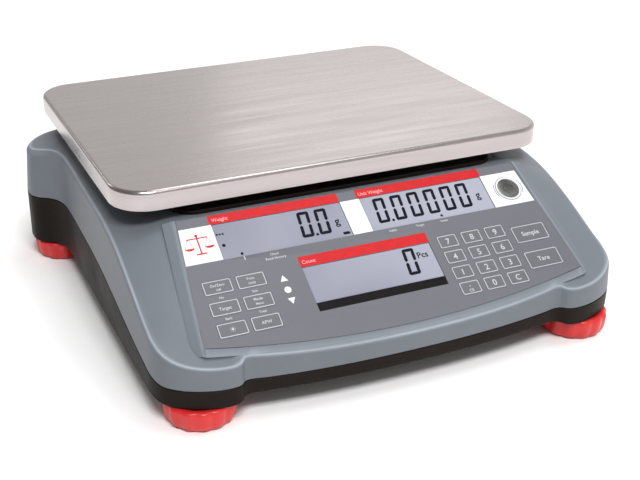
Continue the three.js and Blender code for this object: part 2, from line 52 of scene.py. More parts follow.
PANEL_Y = -73.6
PANEL_Z = 91.4
SLOPE = math.radians(32.6)
PANEL_RISE = 3
OVERLAY = {"top": 117.4, "foot": 126.6, "side": 85, "mid": 97.4}
CONSOLE = {"top": 125.2, "foot": 134, "bevel": 6.6, "front": 101.8, "radius": 1500}
CONSOLE_COUNTS = (49, 12, 12)
# Width of the painted highlight on the ridge, and its share on the console's rim.
HIGHLIGHT_WIDTH = 1.5
RIM_HIGHLIGHT = 0.35
PAN = {
    "width": 300, "depth": 225, "top": 110, "skirt": 12.8,
    "corner": 24, "edge": 2.6, "sheet": 1, "y": 44.5,
}
# A black sheet on the deck under the pan: painted shade for the gap between pan and deck.
SHADE_SHEET = {"size": (228, 190), "corner": 16, "y": 30.5, "low": 88.2, "high": 89.6}
WALL = 2.5
TRAY_LOW = 14.5
TRAY_FLOOR = 17
SEAM_GAP = 0.4
DECK_HOLE = [(20, 22), (80, 22), (80, 67), (20, 67)]

# Round the right half, from the middle of the front to the middle of the rear:
# wall x, y; ridge x, y, z; height of the seam; deck edge x, y.
STATIONS = [
    (0, -162, 0, -160.4, 35.8, 24.5, 0, -154),
    (36, -161.3, 36, -159.8, 36.2, 24.5, 36, -153.5),
    (68, -159.2, 68, -157.8, 37.5, 24.7, 67, -152),
    (93, -156.3, 92.6, -154.9, 39.3, 25, 90, -149.5),
    (102.5, -154.8, 102, -153.4, 40.2, 25.2, 98, -148.2),
    (106.2, -155.8, 105.4, -153.6, 40, 25.4, 101, -147.8),
    (108.4, -158.6, 107.6, -156.2, 39.2, 25.8, 104, -147.6),
    (112, -160.4, 112, -158.2, 38.8, 26, 108, -147.4),
    (121.5, -160.2, 121.3, -158, 38.9, 26, 114, -147),
    (133.5, -156.8, 132.6, -154.8, 39.6, 26, 119, -146),
    (144, -151, 142.6, -149.2, 41.5, 26, 122.5, -144),
    (151.2, -143.6, 149.2, -142.6, 45, 26.2, 124.5, -140),
    (154.2, -134, 152, -133.6, 48.6, 27.5, 125.2, -132),
    (154.8, -120, 152.6, -120, 54, 30, 124.6, -119),
    (155, -100, 152.7, -100, 63.5, 33.6, 122.5, -100),
    (155, -85, 152.7, -85, 70, 36.5, 120.5, -86),
    (155, -73.6, 152.6, -73.6, 74.4, 39, 119, -73.6),
    (155, -58, 152.5, -58, 79, 42.2, 118, -60),
    (154.9, -38, 152.3, -38, 82.3, 45.8, 118, -38),
    (154.8, -10, 152, -10, 83.4, 49, 118, -10),
    (154.4, 25, 151.5, 25, 84, 50, 118, 25),
    (154, 52, 150.8, 54, 84, 50, 118, 50),
    (154.6, 67, 150.8, 72, 84, 50, 118.5, 68),
    (157.4, 77, 152.6, 84, 83.8, 50, 120, 80),
    (162.4, 83.4, 156.4, 91.5, 83.4, 50, 122, 88),
    (168.2, 87.4, 161.6, 95.6, 83, 50, 123.5, 94),
    (172.2, 92.6, 165.8, 99.4, 82.6, 50, 124.5, 99),
    (173.6, 99.5, 167.6, 104.6, 82.3, 50, 125, 104),
    (172.8, 109, 167, 111.6, 82, 50, 124.6, 110),
    (169.2, 119, 163.8, 119.2, 82, 50, 122.5, 116),
    (162.4, 128.6, 157.6, 126.8, 82, 50, 118.5, 121),
    (152, 136.6, 148.2, 133.4, 82, 50, 113, 125),
    (138.6, 141.2, 136.2, 137.4, 82, 50, 106, 128),
    (110, 146, 108.6, 142.4, 82, 50, 88, 132),
    (80, 151, 79, 147.2, 82, 50, 66, 137),
    (45, 157.2, 44.6, 153.4, 82, 50, 40, 142),
    (0, 162, 0, 158.2, 82, 50, 0, 145),
]

FEET = {"fl": (-128.1, -140.4), "fr": (128.1, -140.4), "rl": (-150.4, 100.1), "rr": (150.4, 100.1)}
KNOB = {
    "r": 21.7, "low": 1, "top": 13.7, "flutes": 14,
    "dip": 0.9, "bore": 4.3, "recess": 17.1, "recess_top": 2.6,
}
STUD = {"r": 4, "low": 2.3, "top": 38, "pitch": 1.25, "depth": 0.55}
PAD = {"r": 16.5, "top": 2.2}

MODE_COLUMNS = (-106.4, -85.6)
MODE_ROWS = (49.1, 63.1, 77.1)
MODE_SIZE = (17.6, 8.9)
DIGIT_COLUMNS = (46.3, 63.4, 80.4)
DIGIT_ROWS = (49.3, 60.6, 71.9, 83.2)
DIGIT_SIZE = (13.2, 8.7)
WIDE_SIZE = (24, 12.1)
WIDE_X = 104.1
DISPLAYS = {
    "display_weight": ((-96.8, -12.2), (7.6, 32.1)),
    "display_unit_weight": ((1.7, 89.5), (7.6, 32.1)),
    "display_count": ((-52.3, 33.3), (47.6, 71.8)),
}
VIAL = {"x": 105.5, "s": 19.9, "r": 7.2, "low": -4.9, "ring_out": 8.8}

ALCOVE = {"x": (30, 106), "z": (21.5, 46.5), "back": 143}
INLET = {"x": 88, "z": 34, "w": 26, "h": 19, "face": 144.65, "socket": 14}
SERIAL = {"x": 49, "z": 34, "w": 18.6, "h": 10, "mouth_w": 16.8, "mouth_h": 8.6}
COVER = {"x": 53.6, "y": (60.4, 133.6), "z": (14.7, 17)}
CELL_SCREWS = (-57, -41)
CASE_SCREWS = [(-140, -95), (140, -95), (-128, 128), (128, 128)]

# ---- Meshes -------------------------------------------------------------------------------


def plain(x, y, z):
    return (x, y, z)


def upright(x, z, y):
    return (x, y, z)


def panel(x, s, n):
    y = PANEL_Y - s * math.cos(SLOPE) - n * math.sin(SLOPE)
    z = PANEL_Z - s * math.sin(SLOPE) + n * math.cos(SLOPE)
    return (x, y, z)


class Mesher:
    """Gathers parts, in millimetres, that become one object."""

    def __init__(self):
        self.points = []
        self.faces = []
        self.slots = []

    def add(self, points, faces, slot=0):
        start = len(self.points)
        self.points.extend(tuple(float(c) for c in p) for p in points)
        self.faces.extend(tuple(start + i for i in face) for face in faces)
        self.slots.extend([slot] * len(faces))

    def loft(self, rings, slot=0, first=True, last=True, wrap=False):
        count = len(rings[0])
        points = [p for ring in rings for p in ring]
        total = len(rings) if wrap else len(rings) - 1
        faces = []
        for k in range(total):
            a = k * count
            b = (k + 1) % len(rings) * count
            for i in range(count):
                j = (i + 1) % count
                faces.append((a + i, a + j, b + j, b + i))
        if first and not wrap:
            faces.append(tuple(reversed(range(count))))
        if last and not wrap:
            faces.append(tuple(range(len(points) - count, len(points))))
        self.add(points, faces, slot)

    def prism(self, loop, low, high, slot=0, place=plain):
        self.loft([[place(x, y, n) for x, y in loop] for n in (low, high)], slot)

    def turned(self, profile, x, y, slot=0, place=plain, count=48):
        """A turned part about a line at x, y; the profile is (radius, height)."""
        rings = [[place(x + px, y + py, h) for px, py in circle(r, count)] for r, h in profile]
        self.loft(rings, slot)

    def block(self, size, corner, centre, profile, place=plain, steps=4, growing=False):
        """A rounded block round a centre; the profile is (growth, height)."""
        rings = []
        for grow, n in profile:
            radius = corner + grow if growing else corner
            loop = rounded(size[0] + 2 * grow, size[1] + 2 * grow, radius, steps, *centre)
            rings.append([place(x, y, n) for x, y in loop])
        self.loft(rings)

    def mesh(self, name, materials, sharp):
        mesh = bpy.data.meshes.new(name)
        mesh.from_pydata([(x * MM, y * MM, z * MM) for x, y, z in self.points], [], self.faces)
        for material in materials:
            mesh.materials.append(material)
        mesh.polygons.foreach_set("material_index", self.slots)
        outward(mesh)
        smooth(mesh, sharp)
        return mesh

    def build(self, name, materials, body, nodes=(), sharp=35):
        mesh = self.mesh(name, materials, sharp)
        return settle(bpy.data.objects.new(name, mesh), body, nodes)


def outward(mesh):
    work = bmesh.new()
    work.from_mesh(mesh)
    bmesh.ops.recalc_face_normals(work, faces=work.faces)
    work.to_mesh(mesh)
    work.free()


def smooth(mesh, sharp):
    mesh.shade_smooth()
    mesh.set_sharp_from_angle(angle=math.radians(sharp))


def settle(obj, body, nodes=()):
    if obj.name not in bpy.context.scene.collection.objects:
        bpy.context.scene.collection.objects.link(obj)
    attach(obj, body)
    if nodes:
        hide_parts(*nodes)
    return obj


def circle(r, count=48):
    angles = [2 * math.pi * i / count for i in range(count)]
    return [(r * math.cos(a), r * math.sin(a)) for a in angles]


def rectangle(x, y):
    return [(x[0], y[0]), (x[1], y[0]), (x[1], y[1]), (x[0], y[1])]


def rounded(width, height, r, steps=5, x=0, y=0):
    points = []
    for quarter, (sx, sy) in enumerate([(1, 1), (-1, 1), (-1, -1), (1, -1)]):
        cx = x + sx * (width / 2 - r)
        cy = y + sy * (height / 2 - r)
        for i in range(steps + 1):
            a = (quarter + i / steps) * math.pi / 2
            points.append((cx + r * math.cos(a), cy + r * math.sin(a)))
    return points


def weigh_normals(obj):
    modifier = obj.modifiers.new("even_normals", "WEIGHTED_NORMAL")
    modifier.keep_sharp = True
    return obj


def carve(obj, parts, operation):
    """Changes obj by the parts in a Mesher: cuts them away, adds them, or keeps what they share."""
    tool = bpy.data.objects.new("carving_tool", parts.mesh("carving_tool", [], 35))
    bpy.context.scene.collection.objects.link(tool)
    modifier = obj.modifiers.new("carve", "BOOLEAN")
    modifier.operation = operation
    modifier.solver = "EXACT"
    modifier.object = tool
    modifier.use_self = True
    graph = bpy.context.evaluated_depsgraph_get()
    changed = bpy.data.meshes.new_from_object(obj.evaluated_get(graph))
    obj.modifiers.clear()
    obj.data = changed
    bpy.data.objects.remove(tool)


# ---- Lettering ----------------------------------------------------------------------------


def letters(text):
    """Points and faces of a word in the built-in font, one unit high before scaling."""
    curve = bpy.data.curves.new("lettering", "FONT")
    curve.body = text
    curve.extrude = 0.5
    curve.resolution_u = 3
    curve.offset = 0.014
    obj = bpy.data.objects.new("lettering", curve)
    bpy.context.scene.collection.objects.link(obj)
    graph = bpy.context.evaluated_depsgraph_get()
    mesh = bpy.data.meshes.new_from_object(obj.evaluated_get(graph))
    points = [tuple(v.co) for v in mesh.vertices]
    faces = [tuple(p.vertices) for p in mesh.polygons]
    bpy.data.objects.remove(obj)
    bpy.data.curves.remove(curve)
    bpy.data.meshes.remove(mesh)
    return points, faces


CAP_HEIGHT = max(p[1] for p in letters("H")[0])


def write(mesher, text, x, s, cap, low, high, slot=0, centred=True, squeeze=1):
    """Adds a word to the panel: s is its middle line, cap the height of its capitals."""
    points, faces = letters(text)
    scale = cap / CAP_HEIGHT
    left = min(p[0] for p in points)
    right = max(p[0] for p in points)
    shift = (left + right) / 2 if centred else left
    placed = [
        panel(
            x + (u - shift) * scale * squeeze,
            s + cap / 2 - v * scale,
            low + (high - low) * (w + 0.5),
        )
        for u, v, w in points
    ]
    mesher.add(placed, faces, slot)


# ---- Materials ----------------------------------------------------------------------------


def tone(red, green, blue):
    """A screen colour, 0 to 255, as the linear colour a shader takes."""
    def linear(c):
        c /= 255
        return c / 12.92 if c <= 0.04045 else ((c + 0.055) / 1.055) ** 2.4
    return (linear(red), linear(green), linear(blue), 1)


def mapped(tree, factor, start, end, low, high):
    """A Map Range node: start to end becomes low to high."""
    node = tree.nodes.new("ShaderNodeMapRange")
    for socket, value in zip(("From Min", "From Max", "To Min", "To Max"), (start, end, low, high)):
        node.inputs[socket].default_value = value
    tree.links.new(factor, node.inputs["Value"])
    return node.outputs["Result"]


# Each material by the name it is asked for: Blender numbers a name that the frame already has.
LOOK = {}


class Finish:
    """A procedural material: a Principled shader with noise-driven colour, gloss and relief."""

    def __init__(self, name, roughness, metallic=0.0, **sockets):
        self.material = bpy.data.materials.new(name)
        LOOK[name] = self.material
        self.material.use_nodes = True
        self.tree = self.material.node_tree
        self.shader = next(n for n in self.tree.nodes if n.type == "BSDF_PRINCIPLED")
        self.shader.inputs["Roughness"].default_value = roughness
        self.shader.inputs["Metallic"].default_value = metallic
        for socket, value in sockets.items():
            self.shader.inputs[socket.replace("_", " ")].default_value = value
        self.coords = self.add("ShaderNodeTexCoord").outputs["Object"]
        self.relief = None

    def add(self, kind, **settings):
        node = self.tree.nodes.new(kind)
        for key, value in settings.items():
            setattr(node, key, value)
        return node

    def link(self, start, end):
        self.tree.links.new(start, end)

    def stretched(self, stretch):
        mapping = self.add("ShaderNodeMapping")
        mapping.inputs["Scale"].default_value = stretch
        self.link(self.coords, mapping.inputs["Vector"])
        return mapping.outputs["Vector"]

    def noise(self, scale, detail=3, rough=0.5, stretch=(1, 1, 1)):
        node = self.add("ShaderNodeTexNoise")
        node.inputs["Scale"].default_value = scale
        node.inputs["Detail"].default_value = detail
        node.inputs["Roughness"].default_value = rough
        self.link(self.stretched(stretch), node.inputs["Vector"])
        return node.outputs["Fac"]

    def tint(self, factor, low, high, start=0.3, end=0.7):
        ramp = self.add("ShaderNodeValToRGB")
        ramp.color_ramp.elements[0].position = start
        ramp.color_ramp.elements[1].position = end
        ramp.color_ramp.elements[0].color = tone(*low)
        ramp.color_ramp.elements[1].color = tone(*high)
        self.link(factor, ramp.inputs["Fac"])
        self.link(ramp.outputs["Color"], self.shader.inputs["Base Color"])
        return ramp.outputs["Color"]

    def span(self, factor, *limits):
        return mapped(self.tree, factor, *limits)

    def gloss(self, factor, low, high, start=0.3, end=0.7):
        self.link(self.span(factor, start, end, low, high), self.shader.inputs["Roughness"])

    def bump(self, height, depth, strength=1.0):
        node = self.add("ShaderNodeBump")
        node.inputs["Distance"].default_value = depth * MM
        node.inputs["Strength"].default_value = strength
        self.link(height, node.inputs["Height"])
        if self.relief is not None:
            self.link(self.relief, node.inputs["Normal"])
        self.relief = node.outputs["Normal"]
        self.link(self.relief, self.shader.inputs["Normal"])


def moulded(name, low, high, gloss, grain, pitch=2400, patch=14, **sockets):
    """Moulded plastic: spark-eroded grain, a slow drift of colour, and handled patches."""
    finish = Finish(name, sum(gloss) / 2, **sockets)
    finish.tint(finish.noise(patch, 4, 0.6), low, high)
    finish.gloss(finish.noise(patch * 2.5, 5, 0.65), *gloss)
    finish.bump(finish.noise(pitch, 2, 0.6), grain)


def housing_plastic():
    """The grey shell: moulded grain, with a painted highlight on its ridge and the console's rim,
    which are glossier too.
    """
    finish = Finish("housing_grey", 0.39, Specular_IOR_Level=0.22)
    colour = finish.tint(finish.noise(14, 4, 0.6), (106, 111, 118), (111, 117, 124))
    # Painted highlight: near the ridge and the console's rim the colour is mixed, unevenly, towards
    # light grey.
    painted_highlight = finish.add("ShaderNodeAttribute", attribute_name="painted_highlight")
    highlight_strength = finish.add("ShaderNodeMath", operation="MULTIPLY")
    finish.link(painted_highlight.outputs["Fac"], highlight_strength.inputs[0])
    finish.link(finish.span(finish.noise(22, 3, 0.6), 0, 1, 0.45, 0.95), highlight_strength.inputs[1])
    blend = finish.add("ShaderNodeMix", data_type="RGBA")
    blend.inputs[7].default_value = tone(168, 175, 184)
    finish.link(highlight_strength.outputs["Value"], blend.inputs["Factor"])
    finish.link(colour, blend.inputs[6])
    finish.link(blend.outputs[2], finish.shader.inputs["Base Color"])
    finish.gloss(highlight_strength.outputs["Value"], 0.4, 0.24, 0, 1)
    finish.bump(finish.noise(2400, 2, 0.6), 0.03)


def printed(name, low, high, gloss=(0.4, 0.5), shine=0.2):
    """Screen-printed ink: close to flat, with a faint mesh grain."""
    finish = Finish(name, sum(gloss) / 2, Specular_IOR_Level=shine)
    finish.tint(finish.noise(260, 3, 0.6), low, high)
    finish.gloss(finish.noise(90, 3, 0.5), *gloss)
    finish.bump(finish.noise(5200, 1, 0.5), 0.008)


def brushed_steel(name, streak, gloss, low, high):
    """Sheet steel with the long fine streaks that a brushing belt leaves."""
    finish = Finish(name, sum(gloss) / 2, 1.0)
    finish.tint(finish.noise(10, 7, 0.72, streak), low, high, 0.25, 0.75)
    smear = tuple(max(1, s / 5) for s in streak)
    finish.gloss(finish.noise(7, 5, 0.65, smear), *gloss)
    finish.bump(finish.noise(46, 5, 0.75, streak), 0.008, 0.4)


def machined(name, low, high, gloss, streak=(1, 30, 30), scale=60, depth=0.02):
    finish = Finish(name, sum(gloss) / 2, 1.0)
    finish.tint(finish.noise(scale, 5, 0.65, streak), low, high)
    finish.gloss(finish.noise(scale * 0.5, 4, 0.6), *gloss)
    finish.bump(finish.noise(scale * 3, 3, 0.6, streak), depth)


def cast_alloy():
    finish = Finish("cast_alloy", 0.5, 1.0)
    finish.tint(finish.noise(35, 5, 0.65), (138, 140, 142), (168, 170, 172))
    finish.gloss(finish.noise(120, 4, 0.6), 0.42, 0.6)
    finish.bump(finish.noise(900, 3, 0.65), 0.09)


def rubber():
    finish = Finish("pad_rubber", 0.82)
    finish.tint(finish.noise(60, 4, 0.65), (30, 30, 31), (44, 43, 43))
    finish.gloss(finish.noise(140, 4, 0.6), 0.74, 0.9)
    finish.bump(finish.noise(1800, 3, 0.6), 0.06)


def display_glass():
    """A reflective liquid-crystal cell: grey-blue behind gloss, with a painted reflection that makes
    it lighter towards +x.
    """
    gloss = {"Coat_Weight": 0.2, "Coat_Roughness": 0.2, "Specular_IOR_Level": 0.3}
    finish = Finish("display_glass", 0.4, **gloss)
    split = finish.add("ShaderNodeSeparateXYZ")
    finish.link(finish.coords, split.inputs["Vector"])
    # Painted reflection: the colour rises with x across the scale, so the right-hand cells are
    # lighter.
    drift = finish.add("ShaderNodeMath", operation="MULTIPLY_ADD")
    finish.link(split.outputs["X"], drift.inputs[0])
    drift.inputs[1].default_value = 3.6
    finish.link(finish.noise(11, 2, 0.4), drift.inputs[2])
    finish.tint(drift.outputs["Value"], (128, 130, 145), (156, 158, 172), 0.2, 0.85)
    finish.bump(finish.noise(3200, 1, 0.5), 0.006)


def circuit_board():
    """Green board with a lattice of copper traces under the resist."""
    finish = Finish("circuit_board", 0.4, Coat_Weight=0.3)
    brick = finish.add("ShaderNodeTexBrick")
    brick.inputs["Scale"].default_value = 160
    brick.inputs["Mortar Size"].default_value = 0.04
    brick.inputs["Color1"].default_value = tone(34, 92, 58)
    brick.inputs["Color2"].default_value = tone(42, 104, 66)
    brick.inputs["Mortar"].default_value = tone(96, 140, 88)
    finish.link(finish.coords, brick.inputs["Vector"])
    finish.link(brick.outputs["Color"], finish.shader.inputs["Base Color"])
    finish.bump(brick.outputs["Fac"], 0.05)


def vial_fluid():
    finish = Finish("vial_fluid", 0.3, Coat_Weight=0.5, Coat_Roughness=0.12)
    finish.tint(finish.noise(60, 2, 0.5), (58, 58, 57), (104, 105, 102), 0.35, 0.65)
    finish.gloss(finish.noise(300, 2, 0.5), 0.26, 0.36)


def make_materials():
    film = {"grain": 0.012, "pitch": 4200, "Specular_IOR_Level": 0.35}
    housing_plastic()
    moulded("base_black", (30, 25, 22), (36, 30, 27), (0.4, 0.52), 0.04, Specular_IOR_Level=0.06)
    moulded("overlay_film", (97, 98, 105), (101, 102, 109), (0.4, 0.48), **film)
    moulded("key_film", (95, 96, 102), (99, 100, 106), (0.38, 0.46), **film)
    moulded("vial_ring", (196, 197, 199), (214, 215, 217), (0.25, 0.35), 0.01)
    moulded("battery_case", (52, 54, 58), (66, 68, 72), (0.4, 0.55), 0.03)
    moulded("socket_black", (26, 26, 27), (36, 36, 37), (0.35, 0.5), 0.03)
    moulded("knob_red", (196, 34, 33), (210, 42, 40), (0.28, 0.42), 0.02, 1800, 40)
    brushed_steel("stainless_brushed", (1, 80, 80), (0.2, 0.34), (198, 189, 188), (224, 216, 215))
    # The skirt's copy of the steel is darker than the top's: painted shade on the upright faces.
    brushed_steel("stainless_skirt_shaded", (1, 1, 70), (0.2, 0.28), (177, 169, 168), (193, 185, 184))
    machined("load_cell_alloy", (176, 178, 180), (204, 205, 206), (0.26, 0.36))
    machined("connector_shell", (178, 180, 184), (206, 207, 210), (0.2, 0.34))
    machined("screw_steel", (150, 152, 156), (190, 191, 194), (0.22, 0.36), (1, 1, 8))
    cast_alloy()
    display_glass()
    circuit_board()
    vial_fluid()
    rubber()
    printed("ink_red", (182, 24, 29), (191, 30, 34))
    printed("ink_white", (222, 223, 226), (230, 231, 233))
    printed("ink_black", (19, 17, 17), (25, 22, 22), shine=0.08)
    printed("ink_light", (176, 178, 183), (188, 190, 194))
    printed("ink_pale_red", (230, 146, 146), (238, 160, 160))
    printed("display_ink", (20, 20, 30), (27, 27, 38), shine=0.05)


make_materials()

# ---- Camera, floor and light --------------------------------------------------------------


CAMERA = {
    "azimuth": -21.40, "elevation": 26.09, "roll": -0.81, "lens": 60.05,
    "shift": 0.117, "place": (-288.2, -623.2, 359.1),
}


def make_camera():
    azimuth, elevation, roll = (math.radians(CAMERA[key]) for key in ("azimuth", "elevation", "roll"))
    back = Vector((
        math.sin(azimuth) * math.cos(elevation),
        -math.cos(azimuth) * math.cos(elevation),
        math.sin(elevation),
    ))
    right = Vector((math.cos(azimuth), math.sin(azimuth), 0))
    up = back.cross(right)
    level = math.cos(roll) * right + math.sin(roll) * up
    steep = math.cos(roll) * up - math.sin(roll) * right
    camera = bpy.data.cameras.new("camera")
    camera.sensor_width = 36
    camera.lens = CAMERA["lens"]
    camera.shift_x = CAMERA["shift"]
    camera.clip_start = 0.01
    obj = bpy.data.objects.new("camera", camera)
    bpy.context.scene.collection.objects.link(obj)
    turn = Matrix((level, steep, back)).transposed().to_4x4()
    obj.matrix_world = Matrix.Translation(Vector(CAMERA["place"]) * MM) @ turn
    bpy.context.scene.camera = obj


def area_light(name, place, target, size, power, glossy=True):
    light = bpy.data.lights.new(name, "AREA")
    light.shape = "RECTANGLE"
    light.size, light.size_y = size
    light.energy = power
    obj = bpy.data.objects.new(name, light)
    bpy.context.scene.collection.objects.link(obj)
    obj.location = place
    obj.rotation_mode = "QUATERNION"
    obj.rotation_quaternion = (Vector(target) - Vector(place)).to_track_quat("-Z", "Y")
    obj.visible_glossy = glossy


def make_world():
    """Pale all-round light: brighter low down, and brighter at the right than at the left."""
    world = bpy.data.worlds.new("studio")
    world.use_nodes = True
    tree = world.node_tree
    background = next(n for n in tree.nodes if n.type == "BACKGROUND")
    background.inputs["Color"].default_value = (1, 0.995, 0.985, 1)
    split = tree.nodes.new("ShaderNodeSeparateXYZ")
    tree.links.new(tree.nodes.new("ShaderNodeTexCoord").outputs["Generated"], split.inputs["Vector"])
    both = tree.nodes.new("ShaderNodeMath")
    both.operation = "MULTIPLY"
    tree.links.new(mapped(tree, split.outputs["Z"], 0, 0.9, 0.84, 0.42), both.inputs[0])
    tree.links.new(mapped(tree, split.outputs["X"], -0.8, 0.8, 0.36, 1.16), both.inputs[1])
    tree.links.new(both.outputs["Value"], background.inputs["Strength"])
    bpy.context.scene.world = world


def make_studio():
    """Name, place, target, size and power of each light; the top one stays out of reflections."""
    make_world()
    area_light("key_softbox", (-0.25, -1.3, 2.0), (0, 0, 0.05), (1.0, 0.6), 40)
    area_light("top_softbox", (0.5, 0.3, 2.1), (0, 0, 0), (1.4, 1.4), 16, glossy=False)
    area_light("back_softbox", (1.0, 1.75, 0.94), (0, 0.05, 0.1), (0.8, 0.4), 0.6)
    area_light("left_strip", (-0.9, 1.6, 0.95), (0, 0.05, 0.1), (0.3, 0.6), 1.5)
    area_light("overhead_strip", (0.6, 0.15, 1.95), (0, 0, 0.1), (1.6, 0.4), 7)
    bpy.context.scene.view_settings.view_transform = "Standard"


def make_floor():
    finish = Finish("floor_paper", 0.7)
    finish.tint(finish.noise(3, 2, 0.5), (252, 251, 251), (255, 254, 254))
    mesher = Mesher()
    reach = (-6000, 6000)
    mesher.add([(x, y, 0) for x, y in rectangle(reach, reach)], [(0, 1, 2, 3)])
    floor = bpy.data.objects.new("floor", mesher.mesh("floor", [finish.material], 30))
    bpy.context.scene.collection.objects.link(floor)


make_camera()
make_studio()
make_floor()

# ---- Housing ------------------------------------------------------------------------------

MIRRORED_COLUMNS = (0, 2, 6)


def full_ring():
    left = []
    for row in reversed(STATIONS[1:-1]):
        left.append([-v if k in MIRRORED_COLUMNS else v for k, v in enumerate(row)])
    return np.array([list(row) for row in STATIONS] + left, float)


def smooth_ring(spacing):
    """A closed smooth curve through the stations; also says where each station lies on it."""
    rows = full_ring()
    count = len(rows)
    steps = np.roll(rows, -1, 0) - rows
    length = np.linalg.norm(steps[:, :2], axis=1)
    knot = np.sqrt(length)[:, None]
    before = np.roll(knot, 1, 0)
    slope = (np.roll(steps / knot, 1, 0) * knot + steps / knot * before) / (knot + before)
    points, starts = [], []
    for i in range(count):
        starts.append(len(points))
        pieces = max(2, math.ceil(length[i] / spacing))
        a, b, h = rows[i], rows[(i + 1) % count], knot[i]
        for t in np.arange(pieces) / pieces:
            points.append(
                (2 * t**3 - 3 * t**2 + 1) * a + (t**3 - 2 * t**2 + t) * h * slope[i]
                + (3 * t**2 - 2 * t**3) * b + (t**3 - t**2) * h * slope[(i + 1) % count]
            )
    return np.array(points), starts


RING, STARTS = smooth_ring(4)
CREASE = STARTS[16]


def inset(loop, distance):
    along = np.roll(loop, -1, 0) - np.roll(loop, 1, 0)
    along = along[:, :2] / np.linalg.norm(along[:, :2], axis=1)[:, None]
    moved = loop.copy()
    moved[:, 0] -= along[:, 1] * distance
    moved[:, 1] += along[:, 0] * distance
    return moved


def level_loop(loop, height):
    moved = loop.copy()
    moved[:, 2] = height
    return moved


def ease(values, low, high):
    t = np.clip((values - low) / (high - low), 0, 1)
    return t * t * (3 - 2 * t)


def deck_heights():
    x, y = np.abs(RING[:, 6]), RING[:, 7]
    front = np.where(y < -130, ease(x, 104, 112), 1)
    return PANEL_Z + np.minimum(0, y - PANEL_Y) * math.tan(SLOPE) - 0.5 - (PANEL_RISE - 0.5) * front


WALL_LOOP = np.column_stack([RING[:, 0], RING[:, 1], np.zeros(len(RING))])
RIDGE_LOOP = RING[:, 2:5].copy()
DECK_LOOP = np.column_stack([RING[:, 6], RING[:, 7], deck_heights()])
SEAM = RING[:, 5]


FRONT = WALL_LOOP[:, 1] < -130
ARCH = np.where(FRONT, 1 - ease(np.abs(WALL_LOOP[:, 0]), 96, 112), 0)
LOBE = np.where(FRONT, ease(np.abs(WALL_LOOP[:, 0]), 104, 116), 0)
LOBE *= 1 - ease(WALL_LOOP[:, 1], -145, -131)


def leaning(share, drop):
    loop = WALL_LOOP + (RIDGE_LOOP - WALL_LOOP) * share
    loop[:, 2] = RIDGE_LOOP[:, 2] - drop
    return loop


def wall_rings():
    start = level_loop(WALL_LOOP, SEAM)
    top = leaning(0.45, 2.4)
    rings = [
        level_loop(inset(WALL_LOOP, WALL), SEAM + 0.2),
        level_loop(inset(WALL_LOOP, 0.55), SEAM),
        level_loop(inset(WALL_LOOP, 0.15), SEAM + 0.15),
    ]
    start[:, 2] += 0.55
    rings += [start + (top - start) * t for t in np.linspace(0, 1, 5)]
    for t in np.linspace(0, 1, 8)[1:]:
        rings.append(leaning(0.45 + 0.55 * t, 2.4 * (1 - t) ** 2))
    return rings


def shoulder_rings():
    """The top surface from the ridge to the deck: full at the sides, flat over the front lobes."""
    bulge = ease(RIDGE_LOOP[:, 1], -146, -118)
    lobe = (1 - ease(RIDGE_LOOP[:, 1], -146, -128)) * ease(np.abs(RIDGE_LOOP[:, 0]), 104, 110)
    rings = []
    for t in (0.015, 0.045, *np.linspace(0, 1, 9)[1:]):
        ring = RIDGE_LOOP + (DECK_LOOP - RIDGE_LOOP) * t
        ring[:, 2] += 4.4 * t * (1 - t) * bulge - 0.4 * t * lobe
        rings.append(ring)
    return rings


def deck_faces(mesher):
    """The deck behind the panel, with the opening that the load cell's boss comes up through."""
    count = len(DECK_LOOP)
    rear = [Vector(DECK_LOOP[i]) for i in range(CREASE, count - CREASE + 1)]
    height = rear[0].z
    hole = [Vector((x, y, height)) for x, y in DECK_HOLE]
    corners = [*rear, *hole]
    mesher.add([tuple(p) for p in corners], tessellate_polygon([rear, hole]))
    rim = [[(x, y, z) for x, y in DECK_HOLE] for z in (height, height - 2.8)]
    mesher.loft(rim, first=False, last=False)


def weld(obj, distance=0.02):
    work = bmesh.new()
    work.from_mesh(obj.data)
    bmesh.ops.remove_doubles(work, verts=work.verts, dist=distance * MM)
    bmesh.ops.recalc_face_normals(work, faces=work.faces)
    work.to_mesh(obj.data)
    work.free()
    smooth(obj.data, 28)


def make_upper_housing():
    mesher = Mesher()
    mesher.loft([*wall_rings(), *shoulder_rings()], first=False, last=False)
    deck_faces(mesher)
    add_console(mesher)
    look = [LOOK["housing_grey"]]
    obj = mesher.build("upper_housing_shell", look, "base", ["upper_housing"], 28)
    weld(obj)
    mark_painted_highlight(obj.data)
    weigh_normals(obj)


def mark_painted_highlight(mesh):
    """Weighs each point by how near it is to the ridge or the console's rim: where the highlight is
    painted.
    """
    ridge = filled(RIDGE_LOOP, 0.4)
    rim_line = [panel(x, s, -0.15) for x, s in console_outline(6.3)]
    rim = filled(np.array(rim_line), 0.4)
    weight = mesh.attributes.new("painted_highlight", "FLOAT", "POINT")
    for i, vertex in enumerate(mesh.vertices):
        point = np.array(vertex.co) / MM
        weight.data[i].value = max(nearness(point, ridge), RIM_HIGHLIGHT * nearness(point, rim))


def nearness(point, line):
    """1 on a line of points, falling to 0 at the width of the painted highlight."""
    return max(0, 1 - np.sqrt(((line - point) ** 2).sum(1).min()) / HIGHLIGHT_WIDTH)


def filled(loop, spacing):
    """The points of a closed loop with more put in between, no further apart than the spacing."""
    pieces = []
    for a, b in zip(loop, np.roll(loop, -1, 0)):
        count = max(1, math.ceil(np.linalg.norm(b - a) / spacing))
        pieces.append(a + (b - a) * (np.arange(count) / count)[:, None])
    return np.vstack(pieces)


def overlay_outline(grow):
    """The overlay's edge in panel axes, with as many points as the console's."""
    reach = OVERLAY["foot"] + grow
    top = OVERLAY["top"] + grow
    bow = OVERLAY["mid"] - OVERLAY["side"]
    foot = []
    for t in np.linspace(-1, 1, CONSOLE_COUNTS[0]):
        foot.append((t * reach, OVERLAY["mid"] - bow * t * t + grow))
    return close_outline(foot, (top, 0.6 - grow))


